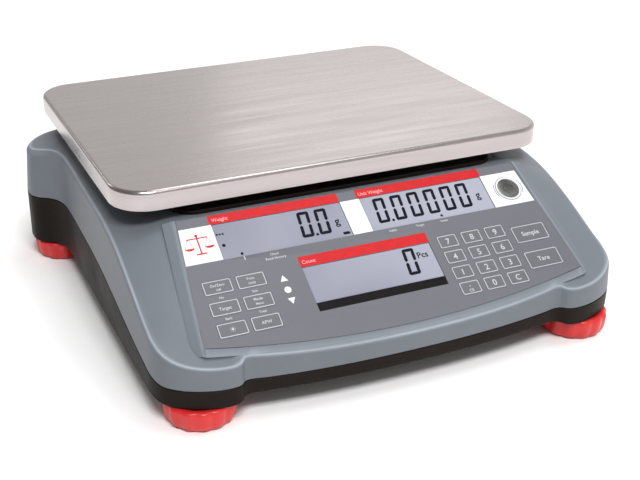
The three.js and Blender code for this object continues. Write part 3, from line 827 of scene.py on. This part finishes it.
def console_outline(shrink):
    """The console's edge, with front corners that are rounder the further out it lies."""
    reach = CONSOLE["foot"] - shrink
    foot = []
    for x in np.linspace(-reach, reach, CONSOLE_COUNTS[0]):
        foot.append((x, CONSOLE["front"] - 0.07 * shrink - x * x / CONSOLE["radius"]))
    loop = np.array(close_outline(foot, (CONSOLE["top"] - shrink, -0.5 + 0.1 * shrink)))
    relaxed = loop.copy()
    for _ in range(2):
        relaxed = relaxed / 2 + (np.roll(relaxed, 1, 0) + np.roll(relaxed, -1, 0)) / 4
    share = (1 - shrink / 7.6) * ease(loop[:, 1], 60, 80)[:, None]
    return [tuple(p) for p in loop + (relaxed - loop) * share]


def close_outline(foot, top_corner):
    """Closes a front edge with two sides and a straight top."""
    _, side_count, top_count = CONSOLE_COUNTS
    x, s = top_corner
    right = np.linspace(foot[-1], (x, s), side_count + 1)[1:]
    across = np.linspace((x, s), (-x, s), top_count + 1)[1:]
    left = np.linspace((-x, s), foot[0], side_count + 1)[1:-1]
    return [*foot, *map(tuple, right), *map(tuple, across), *map(tuple, left)]


def add_console(mesher):
    """The raised block round the overlay: bevelled sides, a rounded rim, a rebate for the film."""
    rise = PANEL_RISE * math.cos(SLOPE)
    profile = [(0, -rise - 1.2), (0, -rise - 0.05), (0.5, -rise + 0.25)]
    for t in np.linspace(0, 1, 6)[1:]:
        profile.append((0.5 + 5.3 * t, -rise + 0.25 + (rise - 0.62) * t))
    profile += [(6.15, -0.22), (6.55, -0.08), (7.0, -0.015), (7.6, 0)]
    rings = [[panel(x, s, n) for x, s in console_outline(shrink)] for shrink, n in profile]
    for grow, n in ((0.34, 0), (0.24, -0.08), (0.24, -1.15)):
        rings.append([panel(x, s, n) for x, s in overlay_outline(grow)])
    mesher.loft(rings, first=False, last=True)


def make_lower_housing():
    mesher = Mesher()
    profile = [(1.9, 0), (1.1, 0.12), (0.55, 0.5), (0.18, 1.1), (0, 1.9)]
    rings = [level_loop(inset(WALL_LOOP, d), TRAY_LOW) for d in (7, 4)]
    edge = TRAY_LOW + 0.4 * ARCH - 0.5 * LOBE
    height = 0.45 + 0.9 * ARCH
    for distance, rise in profile:
        rings.append(level_loop(inset(WALL_LOOP, distance * height), edge + rise * height))
    rings.append(level_loop(WALL_LOOP, SEAM - SEAM_GAP - 0.35))
    rings.append(level_loop(inset(WALL_LOOP, 0.35), SEAM - SEAM_GAP))
    mesher.loft(rings)
    name = "lower_housing_tray"
    obj = bpy.data.objects.new(name, mesher.mesh(name, [LOOK["base_black"]], 30))
    bpy.context.scene.collection.objects.link(obj)
    hollow = Mesher()
    hollow.loft([level_loop(inset(WALL_LOOP, WALL), z) for z in (TRAY_FLOOR, 70)])
    carve(obj, hollow, "DIFFERENCE")
    carve(obj, tray_bosses(), "UNION")
    carve(obj, tray_openings(), "DIFFERENCE")
    obj.data.materials.clear()
    obj.data.materials.append(LOOK["base_black"])
    obj.data.polygons.foreach_set("material_index", [0] * len(obj.data.polygons))
    smooth(obj.data, 30)
    settle(obj, "base", ["lower_housing"])
    weigh_normals(obj)


def tray_bosses():
    """The alcove's wall, roof and floor, and the bosses for the feet and screws."""
    parts = Mesher()
    wall_y = 149.0
    parts.prism(rectangle((27.5, 108.5), (140.5, 144.2)), 17 - 0.5, 49)
    for z in ((19, 21.5), (46.5, 49)):
        parts.prism([(27.5, 144), (108.5, 144), (108.5, 145.2), (80, wall_y), (27.5, 155)], *z)
    for x, y in FEET.values():
        parts.turned([(8.5, 16), (8.5, 34)], x, y)
    for x, y in CASE_SCREWS:
        parts.turned([(5.5, 16), (5.5, 23.5)], x, y, count=32)
    return parts


def tray_openings():
    """What is cut away: the alcove, the two ports, the bores and the battery's door."""
    parts = Mesher()
    parts.prism(rectangle(ALCOVE["x"], (ALCOVE["back"], 175)), *ALCOVE["z"])
    for port in (INLET, SERIAL):
        across = (port["x"] - port["w"] / 2 - 0.3, port["x"] + port["w"] / 2 + 0.3)
        height = (port["z"] - port["h"] / 2 - 0.3, port["z"] + port["h"] / 2 + 0.3)
        parts.prism(rectangle(across, (ALCOVE["back"] - 6, ALCOVE["back"] + 0.5)), *height)
    for x, y in FEET.values():
        parts.turned([(4.9, 10), (4.9, 14.6), (4.3, 15.2), (4.3, 50)], x, y)
    cell_bore = [(5.8, 10), (5.8, 14.7), (5.4, 15.1), (5.4, 21.3), (3.3, 21.3), (3.3, 45)]
    for x in CELL_SCREWS:
        parts.turned(cell_bore, x, PAN["y"])
    case_bore = [(4.2, 10), (4.2, 14.7), (3.8, 15.1), (3.8, 18), (1.9, 18), (1.9, 30)]
    for x, y in CASE_SCREWS:
        parts.turned(case_bore, x, y, count=32)
    middle = sum(COVER["y"]) / 2
    depth = COVER["y"][1] - COVER["y"][0] + 0.8
    parts.prism(rounded(2 * COVER["x"] + 0.8, depth, 1.5, 4, 0, middle), 10, 18)
    return parts


def shade_sheet_loop(inward, z):
    width, depth = (side - 2 * inward for side in SHADE_SHEET["size"])
    return [(x, y, z) for x, y in rounded(width, depth, SHADE_SHEET["corner"] - inward, 8, 0, SHADE_SHEET["y"])]


def make_deck_shade_sheet():
    """A black sheet on the deck under the pan, painted shade for the gap there; open where the load
    cell's boss comes up.
    """
    low, high = SHADE_SHEET["low"], SHADE_SHEET["high"]
    outline = [(x, y) for x, y, _ in shade_sheet_loop(0, 0)]
    opening = [(x + (2 if x > 50 else -2), y + (2 if y > 45 else -2)) for x, y in DECK_HOLE]
    flat = [[Vector((x, y, high)) for x, y in loop] for loop in (outline, opening)]
    mesher = Mesher()
    mesher.add([tuple(p) for loop in flat for p in loop], tessellate_polygon(flat))
    for loop in (outline, opening):
        mesher.loft([[(x, y, z) for x, y in loop] for z in (low, high)], first=False, last=False)
    rim = [(0, -0.1), (0, 0.9), (0.3, 1.2), (1.5, 1.2), (1.8, 0.9), (1.8, -0.1)]
    mesher.loft([shade_sheet_loop(inward, high + rise) for inward, rise in rim], wrap=True)
    mesher.build("deck_shade_sheet", [LOOK["base_black"]], "base")


make_upper_housing()
make_lower_housing()
make_deck_shade_sheet()

# ---- Pan and what carries it --------------------------------------------------------------


def pan_ring(inward, height):
    width, depth = PAN["width"] - 2 * inward, PAN["depth"] - 2 * inward
    loop = rounded(width, depth, PAN["corner"] - inward, 14, 0, PAN["y"])
    return [(x, y, height) for x, y in loop]


def make_pan():
    foot = PAN["top"] - PAN["skirt"]
    outer = PAN["edge"]
    inner = PAN["edge"] - PAN["sheet"]
    centre = PAN["top"] - PAN["edge"]
    rings = []
    for t in np.linspace(math.pi / 2, 0, 6):
        rings.append(pan_ring(PAN["sheet"] + inner * (1 - math.cos(t)), centre + inner * math.sin(t)))
    for inward, height in ((1, foot + 0.3), (0.8, foot), (0.2, foot), (0, foot + 0.3)):
        rings.append(pan_ring(inward, height))
    for t in np.linspace(0, math.pi / 2, 9):
        rings.append(pan_ring(outer * (1 - math.cos(t)), centre + outer * math.sin(t)))
    mesher = Mesher()
    mesher.loft(rings)
    looks = [LOOK["stainless_brushed"], LOOK["stainless_skirt_shaded"]]
    obj = mesher.build("weighing_pan_sheet", looks, "pan", ["weighing_pan"])
    # Upright faces take the darker skirt copy of the steel: painted shade.
    for face in obj.data.polygons:
        face.material_index = 1 if abs(face.normal.z) < 0.9 else 0
    weigh_normals(obj)


def dress(node, look, width=0.3, segments=2):
    """A CAD node that stays: softened edges and its own material."""
    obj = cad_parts[node]
    obj.data.materials.clear()
    obj.data.materials.append(LOOK[look])
    weld_edges = obj.modifiers.new("weld", "WELD")
    weld_edges.merge_threshold = 0.01 * MM
    edges = obj.modifiers.new("soften", "BEVEL")
    edges.width = width * MM
    edges.segments = segments
    edges.limit_method = "ANGLE"
    edges.angle_limit = math.radians(40)
    edges.harden_normals = True


make_pan()
dress("spider", "cast_alloy", 0.8, 3)
for corner in ("fl", "fr", "rl", "rr"):
    dress(f"pan_pad_{corner}", "pad_rubber", 0.6)
dress("load_cell", "load_cell_alloy", 0.4)
dress("main_board", "circuit_board", 0.1, 1)
dress("battery", "battery_case", 1.5, 3)
dress("control_overlay", "overlay_film", 0.08, 1)
dress("level_vial_ring", "vial_ring", 0.12)
dress("power_inlet", "socket_black", 0.3)
dress("serial_port", "connector_shell", 0.2)

# ---- Panel --------------------------------------------------------------------------------

PRINT_TOP = 0.05
OVERPRINT = (PRINT_TOP - 0.01, PRINT_TOP + 0.03)
KEY_TOP = 0.15
KEY_FOOT = -0.6
KEY_GROW = 0.24


def key_rows():
    """Every key: name, centre x and s, size, and its legend lines as (text, offset, cap)."""
    mode = {
        1: [("On/Zero", -1.2, 1.7), ("Off", 1.9, 1.5)],
        2: [("Print", -1.5, 1.7), ("Units", 1.5, 1.5)],
        3: [("Target", 0.2, 2)],
        4: [("Mode", -1.5, 1.7), ("Menu", 1.5, 1.5)],
        5: [],
        6: [("APW", 0, 2)],
    }
    rows = []
    for row, s in enumerate(MODE_ROWS):
        for column, x in enumerate(MODE_COLUMNS):
            number = row * 2 + column + 1
            rows.append((f"key_mode_{number}", x, s, MODE_SIZE, mode[number]))
    names = ["789", "456", "123"]
    for row, s in enumerate(DIGIT_ROWS[:3]):
        for column, x in enumerate(DIGIT_COLUMNS):
            digit = names[row][column]
            rows.append((f"key_{digit}", x, s, DIGIT_SIZE, [(digit, 0, 4)]))
    last = DIGIT_ROWS[3]
    clear_legend = [(".", -2.6, 4), ("CE", 1.9, 1.9)]
    rows.append(("key_clear_entry", DIGIT_COLUMNS[0], last, DIGIT_SIZE, clear_legend))
    rows.append(("key_0", DIGIT_COLUMNS[1], last, DIGIT_SIZE, [("0", 0, 4)]))
    rows.append(("key_clear", DIGIT_COLUMNS[2], last, DIGIT_SIZE, [("C", 0, 3.8)]))
    rows.append(("key_sample", WIDE_X, 54.8, WIDE_SIZE, [("Sample", 0, 3.1)]))
    rows.append(("key_tare", WIDE_X, 74, WIDE_SIZE, [("Tare", 0, 3.1)]))
    return rows


def band(mesher, outer, inner, low, high, slot):
    """A flat ring between two loops with the same number of points."""
    rings = [
        [panel(x, s, low) for x, s in outer],
        [panel(x, s, high) for x, s in outer],
        [panel(x, s, high) for x, s in inner],
        [panel(x, s, low) for x, s in inner],
    ]
    mesher.loft(rings, slot, wrap=True)


def add_sun(mesher, x, s, low, high, slot):
    mesher.turned([(0.75, low), (0.75, high)], x, s, slot, panel, 20)
    for i in range(8):
        a = i * math.pi / 4
        along = (math.cos(a), math.sin(a))
        side = (-along[1] * 0.14, along[0] * 0.14)
        near = (x + along[0] * 1.1, s + along[1] * 1.1)
        far = (x + along[0] * 1.7, s + along[1] * 1.7)
        ray = [
            (near[0] + side[0], near[1] + side[1]), (far[0] + side[0], far[1] + side[1]),
            (far[0] - side[0], far[1] - side[1]), (near[0] - side[0], near[1] - side[1]),
        ]
        mesher.prism(ray, low, high, slot, panel)


def make_key(name, x, s, size, legend):
    width, height = size
    mesher = Mesher()
    profile = [
        (KEY_GROW, KEY_FOOT), (KEY_GROW, -0.02), (KEY_GROW - 0.05, 0.05),
        (KEY_GROW - 0.16, 0.1), (0, 0.13), (-0.5, KEY_TOP),
    ]
    mesher.block(size, 1.1, (x, s), profile, panel, growing=True)
    low, high = KEY_TOP - 0.03, KEY_TOP + 0.04
    outer = rounded(width - 0.3, height - 0.3, 0.95, 4, x, s)
    inner = rounded(width - 1.3, height - 1.3, 0.6, 4, x, s)
    band(mesher, outer, inner, low, high, 1)
    for text, offset, cap in legend:
        write(mesher, text, x, s + offset, cap, low, high, 1)
    if not legend:
        add_sun(mesher, x, s, low, high, 1)
    looks = [LOOK["key_film"], LOOK["ink_light"]]
    mesher.build(f"{name}_cap", looks, f"{name}_press", [name])


def zero_bars(width, height, t, gap):
    """The six bars of a segment display's zero, as loops with their origin at the lower left."""
    half = height / 2
    cut = t * 0.42
    across = [
        (gap + cut, 0), (width - gap - cut, 0), (width - gap, cut * 0.8),
        (width - gap - t, t), (gap + t, t), (gap, cut * 0.8),
    ]
    post = [
        (0, half + gap + cut), (t * 0.5, half + gap), (t, half + gap + cut),
        (t, height - gap - t), (cut * 0.8, height - gap), (0, height - gap - cut),
    ]
    return [
        [(u, height - v) for u, v in across],
        [(width - u, v) for u, v in post],
        [(width - u, height - v) for u, v in post],
        across,
        [(u, height - v) for u, v in post],
        post,
    ]


DIGIT = {"width": 7.9, "height": 18.3, "bar": 2.1, "gap": 0.22, "slant": 1.7}
INK_LOW, INK_HIGH = -0.27, -0.2


def add_zero(mesher, x, foot):
    for bar in zero_bars(DIGIT["width"], DIGIT["height"], DIGIT["bar"], DIGIT["gap"]):
        loop = [(x + u + DIGIT["slant"] * v / DIGIT["height"], foot - v) for u, v in bar]
        mesher.prism(loop, INK_LOW, INK_HIGH, 0, panel)


def add_dot(mesher, x, s, r, low=INK_LOW, high=INK_HIGH, slot=0):
    mesher.turned([(r, low), (r, high)], x, s, slot, panel, 24)


def make_display(name):
    (x0, x1), (s0, s1) = DISPLAYS[name]
    middle = ((x0 + x1) / 2, (s0 + s1) / 2)
    profile = [(0.1, -1.4), (0.1, -0.36), (0.03, -0.29), (-0.08, -0.25)]
    mesher = Mesher()
    mesher.block((x1 - x0, s1 - s0), 0.5, middle, profile, panel, 3)
    mesher.build(f"{name}_cell", [LOOK["display_glass"]], "base", [name])


def make_display_ink():
    mesher = Mesher()
    foot = 27.8
    for x in (-44.2, -32.6):
        add_zero(mesher, x, foot)
    add_dot(mesher, -34.3, 27.0, 0.95)
    write(mesher, "g", -18.8, 20.2, 5.2, INK_LOW, INK_HIGH)
    for x in (7.9, 20, 31.9, 43.8, 55.7, 67.5):
        add_zero(mesher, x, foot)
    add_dot(mesher, 17.9, 27.0, 0.95)
    write(mesher, "g", 82.1, 20.2, 5.2, INK_LOW, INK_HIGH)
    add_zero(mesher, 11.8, 67)
    write(mesher, "Pcs", 25.8, 54.6, 4, INK_LOW, INK_HIGH)
    mesher.prism(rounded(4.2, 1.9, 0.3, 3, -15.9, 29.8), INK_LOW, INK_HIGH, 0, panel)
    mesher.prism(rounded(0.5, 0.9, 0.1, 2, -13.5, 29.8), INK_LOW, INK_HIGH, 0, panel)
    for sign in (-1, 1):
        arrow = [(-93.8 + sign * 0.7, 14.7), (-93.8 + sign * 2.4, 13.8), (-93.8 + sign * 2.4, 15.6)]
        mesher.prism(arrow, INK_LOW, INK_HIGH, 0, panel)
    add_dot(mesher, -93.8, 14.7, 0.6)
    add_dot(mesher, -93.8, 22.6, 1.1)
    add_dot(mesher, -84.8, 30.3, 0.9)
    add_dot(mesher, 50.8, 30.3, 0.9)
    mesher.build("display_ink", [LOOK["display_ink"]], "base")


def film_edge(s):
    """Half-width of the overlay at a distance down the slope."""
    share = (s - 0.6) / (OVERLAY["side"] - 0.6)
    return OVERLAY["top"] + (OVERLAY["foot"] - OVERLAY["top"]) * share


def make_print():
    """Everything screen-printed on the overlay."""
    mesher = Mesher()
    inks = ["ink_red", "ink_white", "ink_black", "ink_light", "ink_pale_red"]
    red, white, black, light, pale = range(5)
    low = -0.02
    for x, s in (((-97.9, -12.1), (0.85, 7.3)), ((0.5, 90.2), (0.85, 7.3)), ((-53, 33.8), (40, 47.2))):
        mesher.prism(rectangle(x, s), low, PRINT_TOP, red, panel)
    patches = [
        [(-film_edge(7.3) + 0.5, 7.3), (-97.15, 7.3), (-97.15, 32), (-film_edge(32) + 0.5, 32)],
        rectangle((-11.85, 1.35), (7.6, 32.2)),
        [(89.85, 7.3), (film_edge(7.3) - 1.6, 7.3), (film_edge(32.3) - 1.6, 32.3), (89.85, 32.3)],
    ]
    for patch in patches[:2]:
        mesher.prism(patch, low, PRINT_TOP, white, panel)
    add_patch_with_hole(mesher, patches[2], PRINT_TOP, white)
    mesher.prism(rectangle((-52.5, 33.5), (72.15, 77.8)), low, PRINT_TOP, black, panel)
    for text, x, s in (("Weight", -96, 4.4), ("Unit Weight", 2.2, 4.4), ("Count", -51.4, 44)):
        write(mesher, text, x, s, 2.4, *OVERPRINT, pale, centred=False)
    captions = [
        ("Check", -65.6, 34.6, 1.5), ("Recall Memory", -65.6, 37.4, 1.5),
        ("Stable", 14.2, 34.3, 1.5), ("Target", 33.3, 34.3, 1.5), ("Under", 50.8, 34.3, 1.5),
        ("No", -106.4, 56.2, 1.5), ("Exit", -85.6, 56.2, 1.5),
        ("Back", -106.4, 70, 1.5), ("Total", -85.6, 70, 1.5),
    ]
    for text, x, s, cap in captions:
        write(mesher, text, x, s, cap, low, PRINT_TOP, light)
    mesher.prism(rectangle((-84.7, -84), (32.5, 34.9)), low, PRINT_TOP, light, panel)
    mesher.prism([(-66.2, 49.8), (-63.9, 53.9), (-68.5, 53.9)], low, PRINT_TOP, white, panel)
    mesher.prism([(-66.1, 69.4), (-68.4, 65.3), (-63.8, 65.3)], low, PRINT_TOP, white, panel)
    add_dot(mesher, -66.2, 59.8, 2.1, low, PRINT_TOP, white)
    add_vial_arcs(mesher, black)
    mesher.build("panel_print", [LOOK[ink] for ink in inks], "base")


def add_patch_with_hole(mesher, patch, high, slot):
    """The printed patch round the level, cut out for its ring."""
    hole = [(VIAL["x"] + x, VIAL["s"] + y) for x, y in circle(VIAL["ring_out"] + 0.35, 40)]
    flat = tessellate_polygon([[Vector((x, s, 0)) for x, s in loop] for loop in (patch, hole)])
    mesher.add([panel(x, s, high) for x, s in (*patch, *hole)], flat, slot)


def add_vial_arcs(mesher, slot):
    for start in (-0.5, math.pi - 0.5):
        angles = start + np.linspace(0, 1, 13)
        outer, inner = (
            [(VIAL["x"] + r * math.cos(a), VIAL["s"] + r * math.sin(a)) for a in angles]
            for r in (10.4, 10)
        )
        mesher.prism([*outer, *reversed(inner)], *OVERPRINT, slot, panel)


def make_mark():
    """A plain pictogram of a two-pan balance on the white patch."""
    mesher = Mesher()
    x, s = -108.4, 19.6
    low, high = OVERPRINT
    mesher.prism(rectangle((x - 0.45, x + 0.45), (s - 6.6, s + 5.6)), low, high, 0, panel)
    mesher.prism(rectangle((x - 3.2, x + 3.2), (s + 5.6, s + 6.6)), low, high, 0, panel)
    mesher.prism(rectangle((x - 6.6, x + 6.6), (s - 5.2, s - 4.4)), low, high, 0, panel)
    add_dot(mesher, x, s - 6.6, 0.95, low, high)
    for side in (-1, 1):
        centre = x + side * 6.2
        for lean in (-1, 1):
            string = [
                (centre - 0.14, s - 4.6), (centre + 0.14, s - 4.6),
                (centre + lean * 2.7 + 0.14, s + 1.4), (centre + lean * 2.7 - 0.14, s + 1.4),
            ]
            mesher.prism(string, low, high, 0, panel)
        angles = np.linspace(0, math.pi, 13)
        bowl = [(centre + 3 * math.cos(a), s + 1.4 + 1.6 * math.sin(a)) for a in angles]
        mesher.prism(bowl, low, high, 0, panel)
    mesher.build("balance_mark", [LOOK["ink_red"]], "base")


def make_vial():
    """The level: a shallow dome, the circle printed on it and the bubble."""
    mesher = Mesher()
    r = VIAL["r"] + 0.2
    dome = [
        (r, VIAL["low"]), (r, -0.6), (r - 0.2, -0.35),
        (r - 0.7, -0.22), (r * 0.6, -0.1), (r * 0.3, -0.04),
    ]
    mesher.turned(dome, VIAL["x"], VIAL["s"], 0, panel)
    outer, inner = (
        [(VIAL["x"] + x, VIAL["s"] + y) for x, y in circle(ring, 40)]
        for ring in (3.3, 3.15)
    )
    band(mesher, outer, inner, -0.12, -0.03, 1)
    bubble = [(2.1, -0.12), (1.7, 0), (1.1, 0.06), (0.4, 0.08)]
    mesher.turned(bubble, VIAL["x"] - 0.5, VIAL["s"] - 0.3, 0, panel, 24)
    looks = [LOOK["vial_fluid"], LOOK["ink_black"]]
    mesher.build("level_vial_dome", looks, "base", ["level_vial"])


for row in key_rows():
    make_key(*row)
for display in DISPLAYS:
    make_display(display)
make_display_ink()
make_print()
make_mark()
make_vial()

# ---- Feet ---------------------------------------------------------------------------------


def fluted(x, y, z, shrink, depth):
    """A wavy ring: shrink draws it in, and depth is the share of the flutes' full depth."""
    count = KNOB["flutes"] * 10
    points = []
    for i in range(count):
        a = 2 * math.pi * i / count
        wave = 0.5 - 0.5 * math.cos(KNOB["flutes"] * a)
        r = KNOB["r"] - shrink - KNOB["dip"] * depth * wave**1.5
        points.append((x + r * math.cos(a), y + r * math.sin(a), z))
    return points


def bored(x, y, z, r):
    return [(x + px, y + py, z) for px, py in circle(r, KNOB["flutes"] * 10)]


def make_knob(corner):
    x, y = FEET[corner]
    low, top = KNOB["low"], KNOB["top"]
    bore, recess, recess_top = KNOB["bore"], KNOB["recess"], KNOB["recess_top"]
    inside = [(top - 0.3, bore), (recess_top, bore), (recess_top, recess), (low, recess)]
    outside = [
        (low, 2.9, 0.3), (low + 0.35, 2.1, 0.6), (low + 1.1, 1.4, 0.9), (low + 2.4, 0.8, 1),
        (low + 4.4, 0.3, 1), (low + 6.8, 0.05, 1), (low + 8.4, 0, 1), (top - 1.9, 0, 1),
        (top - 1.1, 0.25, 1), (top - 0.4, 0.8, 0.8), (top - 0.08, 1.6, 0.5), (top, 2.4, 0.2),
    ]
    face = [
        (top, 17.6), (top - 0.25, 17.1), (top - 0.9, 16.6), (top - 0.9, 9.4),
        (top - 0.1, 8.8), (top, 8.3), (top, bore + 0.4),
    ]
    rings = [bored(x, y, z, r) for z, r in inside]
    rings += [fluted(x, y, z, shrink, depth) for z, shrink, depth in outside]
    rings += [bored(x, y, z, r) for z, r in face]
    mesher = Mesher()
    mesher.loft(rings, wrap=True)
    name = f"foot_knob_{corner}"
    mesher.build(f"{name}_wheel", [LOOK["knob_red"]], f"foot_{corner}_wheel", [name], 42)


def make_stud(corner):
    """A threaded stud: the ridge climbs round it one pitch a turn."""
    x, y = FEET[corner]
    count, step = 24, STUD["pitch"] / 6
    levels = np.arange(STUD["low"], STUD["top"] - 1.2, step)
    rings = []
    for z in levels:
        ring = []
        for i in range(count):
            share = (z / STUD["pitch"] - i / count) % 1
            r = STUD["r"] - STUD["depth"] * abs(2 * share - 1)
            a = 2 * math.pi * i / count
            ring.append((x + r * math.cos(a), y + r * math.sin(a), z))
        rings.append(ring)
    for r, z in ((3.3, STUD["top"] - 0.9), (2.9, STUD["top"] - 0.2), (2.6, STUD["top"])):
        rings.append([(x + px, y + py, z) for px, py in circle(r, count)])
    mesher = Mesher()
    mesher.loft(rings)
    name = f"foot_stud_{corner}"
    mesher.build(f"{name}_thread", [LOOK["screw_steel"]], f"foot_{corner}_screw", [name], 50)


def make_pad(corner):
    x, y = FEET[corner]
    r, top = PAD["r"], PAD["top"]
    profile = [(2.5, 0.6)]
    for edge in (4, 7.2, 10.4, 13.6):
        profile += [(edge, 0.6), (edge + 0.3, 0.05), (edge + 1.4, 0), (edge + 1.7, 0.6)]
    profile = profile[:-1]
    profile += [(r - 0.9, 0), (r - 0.3, 0.3), (r, 0.9)]
    profile += [(r, top - 0.3), (r - 0.3, top), (4.2, top)]
    mesher = Mesher()
    mesher.turned(profile, x, y, count=64)
    name = f"foot_pad_{corner}"
    mesher.build(f"{name}_rubber", [LOOK["pad_rubber"]], f"foot_{corner}_screw", [name], 42)


for corner in FEET:
    make_knob(corner)
    make_stud(corner)
    make_pad(corner)

# ---- Screws, cover and sockets ------------------------------------------------------------


def star(count, wide, narrow, points, x, y, z):
    """A recess outline: long at each of its points and short between them."""
    loop = []
    for i in range(count):
        a = 2 * math.pi * i / count
        phase = abs(((a * points / (2 * math.pi)) + 0.5) % 1 - 0.5)
        r = wide if phase < 0.11 else narrow
        loop.append((x + r * math.cos(a), y + r * math.sin(a), z))
    return loop


def hexagon(count, flat, x, y, z):
    loop = []
    for i in range(count):
        a = 2 * math.pi * i / count
        r = flat / math.cos((a % (math.pi / 3)) - math.pi / 6)
        loop.append((x + r * math.cos(a), y + r * math.sin(a), z))
    return loop


def ring_at(r, x, y, z, count=48):
    return [(x + px, y + py, z) for px, py in circle(r, count)]


def make_screw(node, x, y, head, face, back, shank, tip, recess):
    """A screw with its face downwards: recess, rounded head, shank."""
    rings = [recess(face + 1.3, 0.86), recess(face + 0.15, 1), recess(face + 0.02, 1.1)]
    rings += [ring_at(head - 0.7, x, y, face), ring_at(head - 0.25, x, y, face + 0.15)]
    rings += [ring_at(head, x, y, face + 0.55), ring_at(head, x, y, back), ring_at(shank, x, y, back)]
    rings += [ring_at(shank, x, y, tip - 0.5), ring_at(shank * 0.75, x, y, tip)]
    mesher = Mesher()
    mesher.loft(rings)
    mesher.build(f"{node}_head", [LOOK["screw_steel"]], "base", [node], 40)


def make_screws():
    for i, (x, y) in enumerate(CASE_SCREWS):
        def cross(z, scale, x=x, y=y):
            return star(48, 2.1 * scale, 0.75 * scale, 4, x, y, z)
        make_screw(f"case_screw_{i + 1}", x, y, 3.4, 15.2, 17.8, 1.6, 38, cross)
    for i, x in enumerate(CELL_SCREWS):
        def socket(z, scale, x=x):
            return hexagon(48, 2.5 * scale, x, PAN["y"], z)
        make_screw(f"load_cell_screw_{i + 1}", x, PAN["y"], 5, 15.3, 21, 3, 50, socket)


def make_battery_cover():
    """The battery's door, with grip ridges and two latches."""
    low, high = COVER["z"]
    front, rear = COVER["y"]
    mesher = Mesher()
    lid = [(-0.5, low), (-0.15, low + 0.12), (0, low + 0.5), (0, high)]
    mesher.block((2 * COVER["x"], rear - front), 1.2, (0, (front + rear) / 2), lid)
    ridge = [(0, low + 0.2), (0, low - 0.25), (-0.3, low - 0.5)]
    for i in range(6):
        mesher.block((34, 1.3), 0.3, (0, front + 7 + i * 2.6), ridge, steps=3)
    latch = [(0, low + 0.2), (0, low - 0.2), (-0.25, low - 0.4)]
    for side in (-1, 1):
        mesher.block((5, 9), 1, (side * 44, front + 13), latch)
    mesher.build("battery_cover_lid", [LOOK["base_black"]], "base", ["battery_cover"])


def make_inlet_contacts():
    back = INLET["face"] - INLET["socket"]
    blade = [(0, back - 0.5), (0, back + 9.5), (-0.3, back + 10.4)]
    mesher = Mesher()
    for dx, dz in ((0, 2.6), (-5.6, -1.6), (5.6, -1.6)):
        mesher.block((2, 5), 0.4, (INLET["x"] + dx, INLET["z"] + dz), blade, upright, 3)
    mesher.build("inlet_contacts", [LOOK["connector_shell"]], "base")


def make_serial_insert():
    """The insert in the data port's mouth, with its two rows of contacts."""
    start = ALCOVE["back"] - 4
    mesher = Mesher()
    mouth = (SERIAL["mouth_w"] - 0.4, SERIAL["mouth_h"] - 0.4)
    profile = [(0, start), (0, start + 7.2), (-0.3, start + 7.5)]
    mesher.block(mouth, 1, (SERIAL["x"], SERIAL["z"]), profile, upright, 3)
    contact = [(0.75, start + 7.3), (0.75, start + 7.75), (0.45, start + 7.75), (0.45, start + 7.4)]
    for row, number in ((1.4, 5), (-1.4, 4)):
        for i in range(number):
            x = SERIAL["x"] + (i - (number - 1) / 2) * 2.77
            mesher.turned(contact, x, SERIAL["z"] + row, 1, upright, 16)
    looks = [LOOK["socket_black"], LOOK["connector_shell"]]
    mesher.build("serial_insert", looks, "base")


def make_jack_nuts():
    face = ALCOVE["back"] + 1.05
    nut = [(2.4, face - 0.3), (2.4, face + 3.6), (2.1, face + 4), (1.4, face + 4), (1.4, face + 0.8)]
    mesher = Mesher()
    for side in (-1, 1):
        x, z = SERIAL["x"] + side * 12.5, SERIAL["z"]
        mesher.loft([[(x + cx, y, z + cz) for cx, cz in hex_loop(r)] for r, y in nut])
    mesher.build("serial_jack_nuts", [LOOK["screw_steel"]], "base")


def hex_loop(r, count=24):
    return [(x, y) for x, y, _ in hexagon(count, r * math.cos(math.pi / 6), 0, 0, 0)]


make_screws()
make_battery_cover()
make_inlet_contacts()
make_serial_insert()
make_jack_nuts()
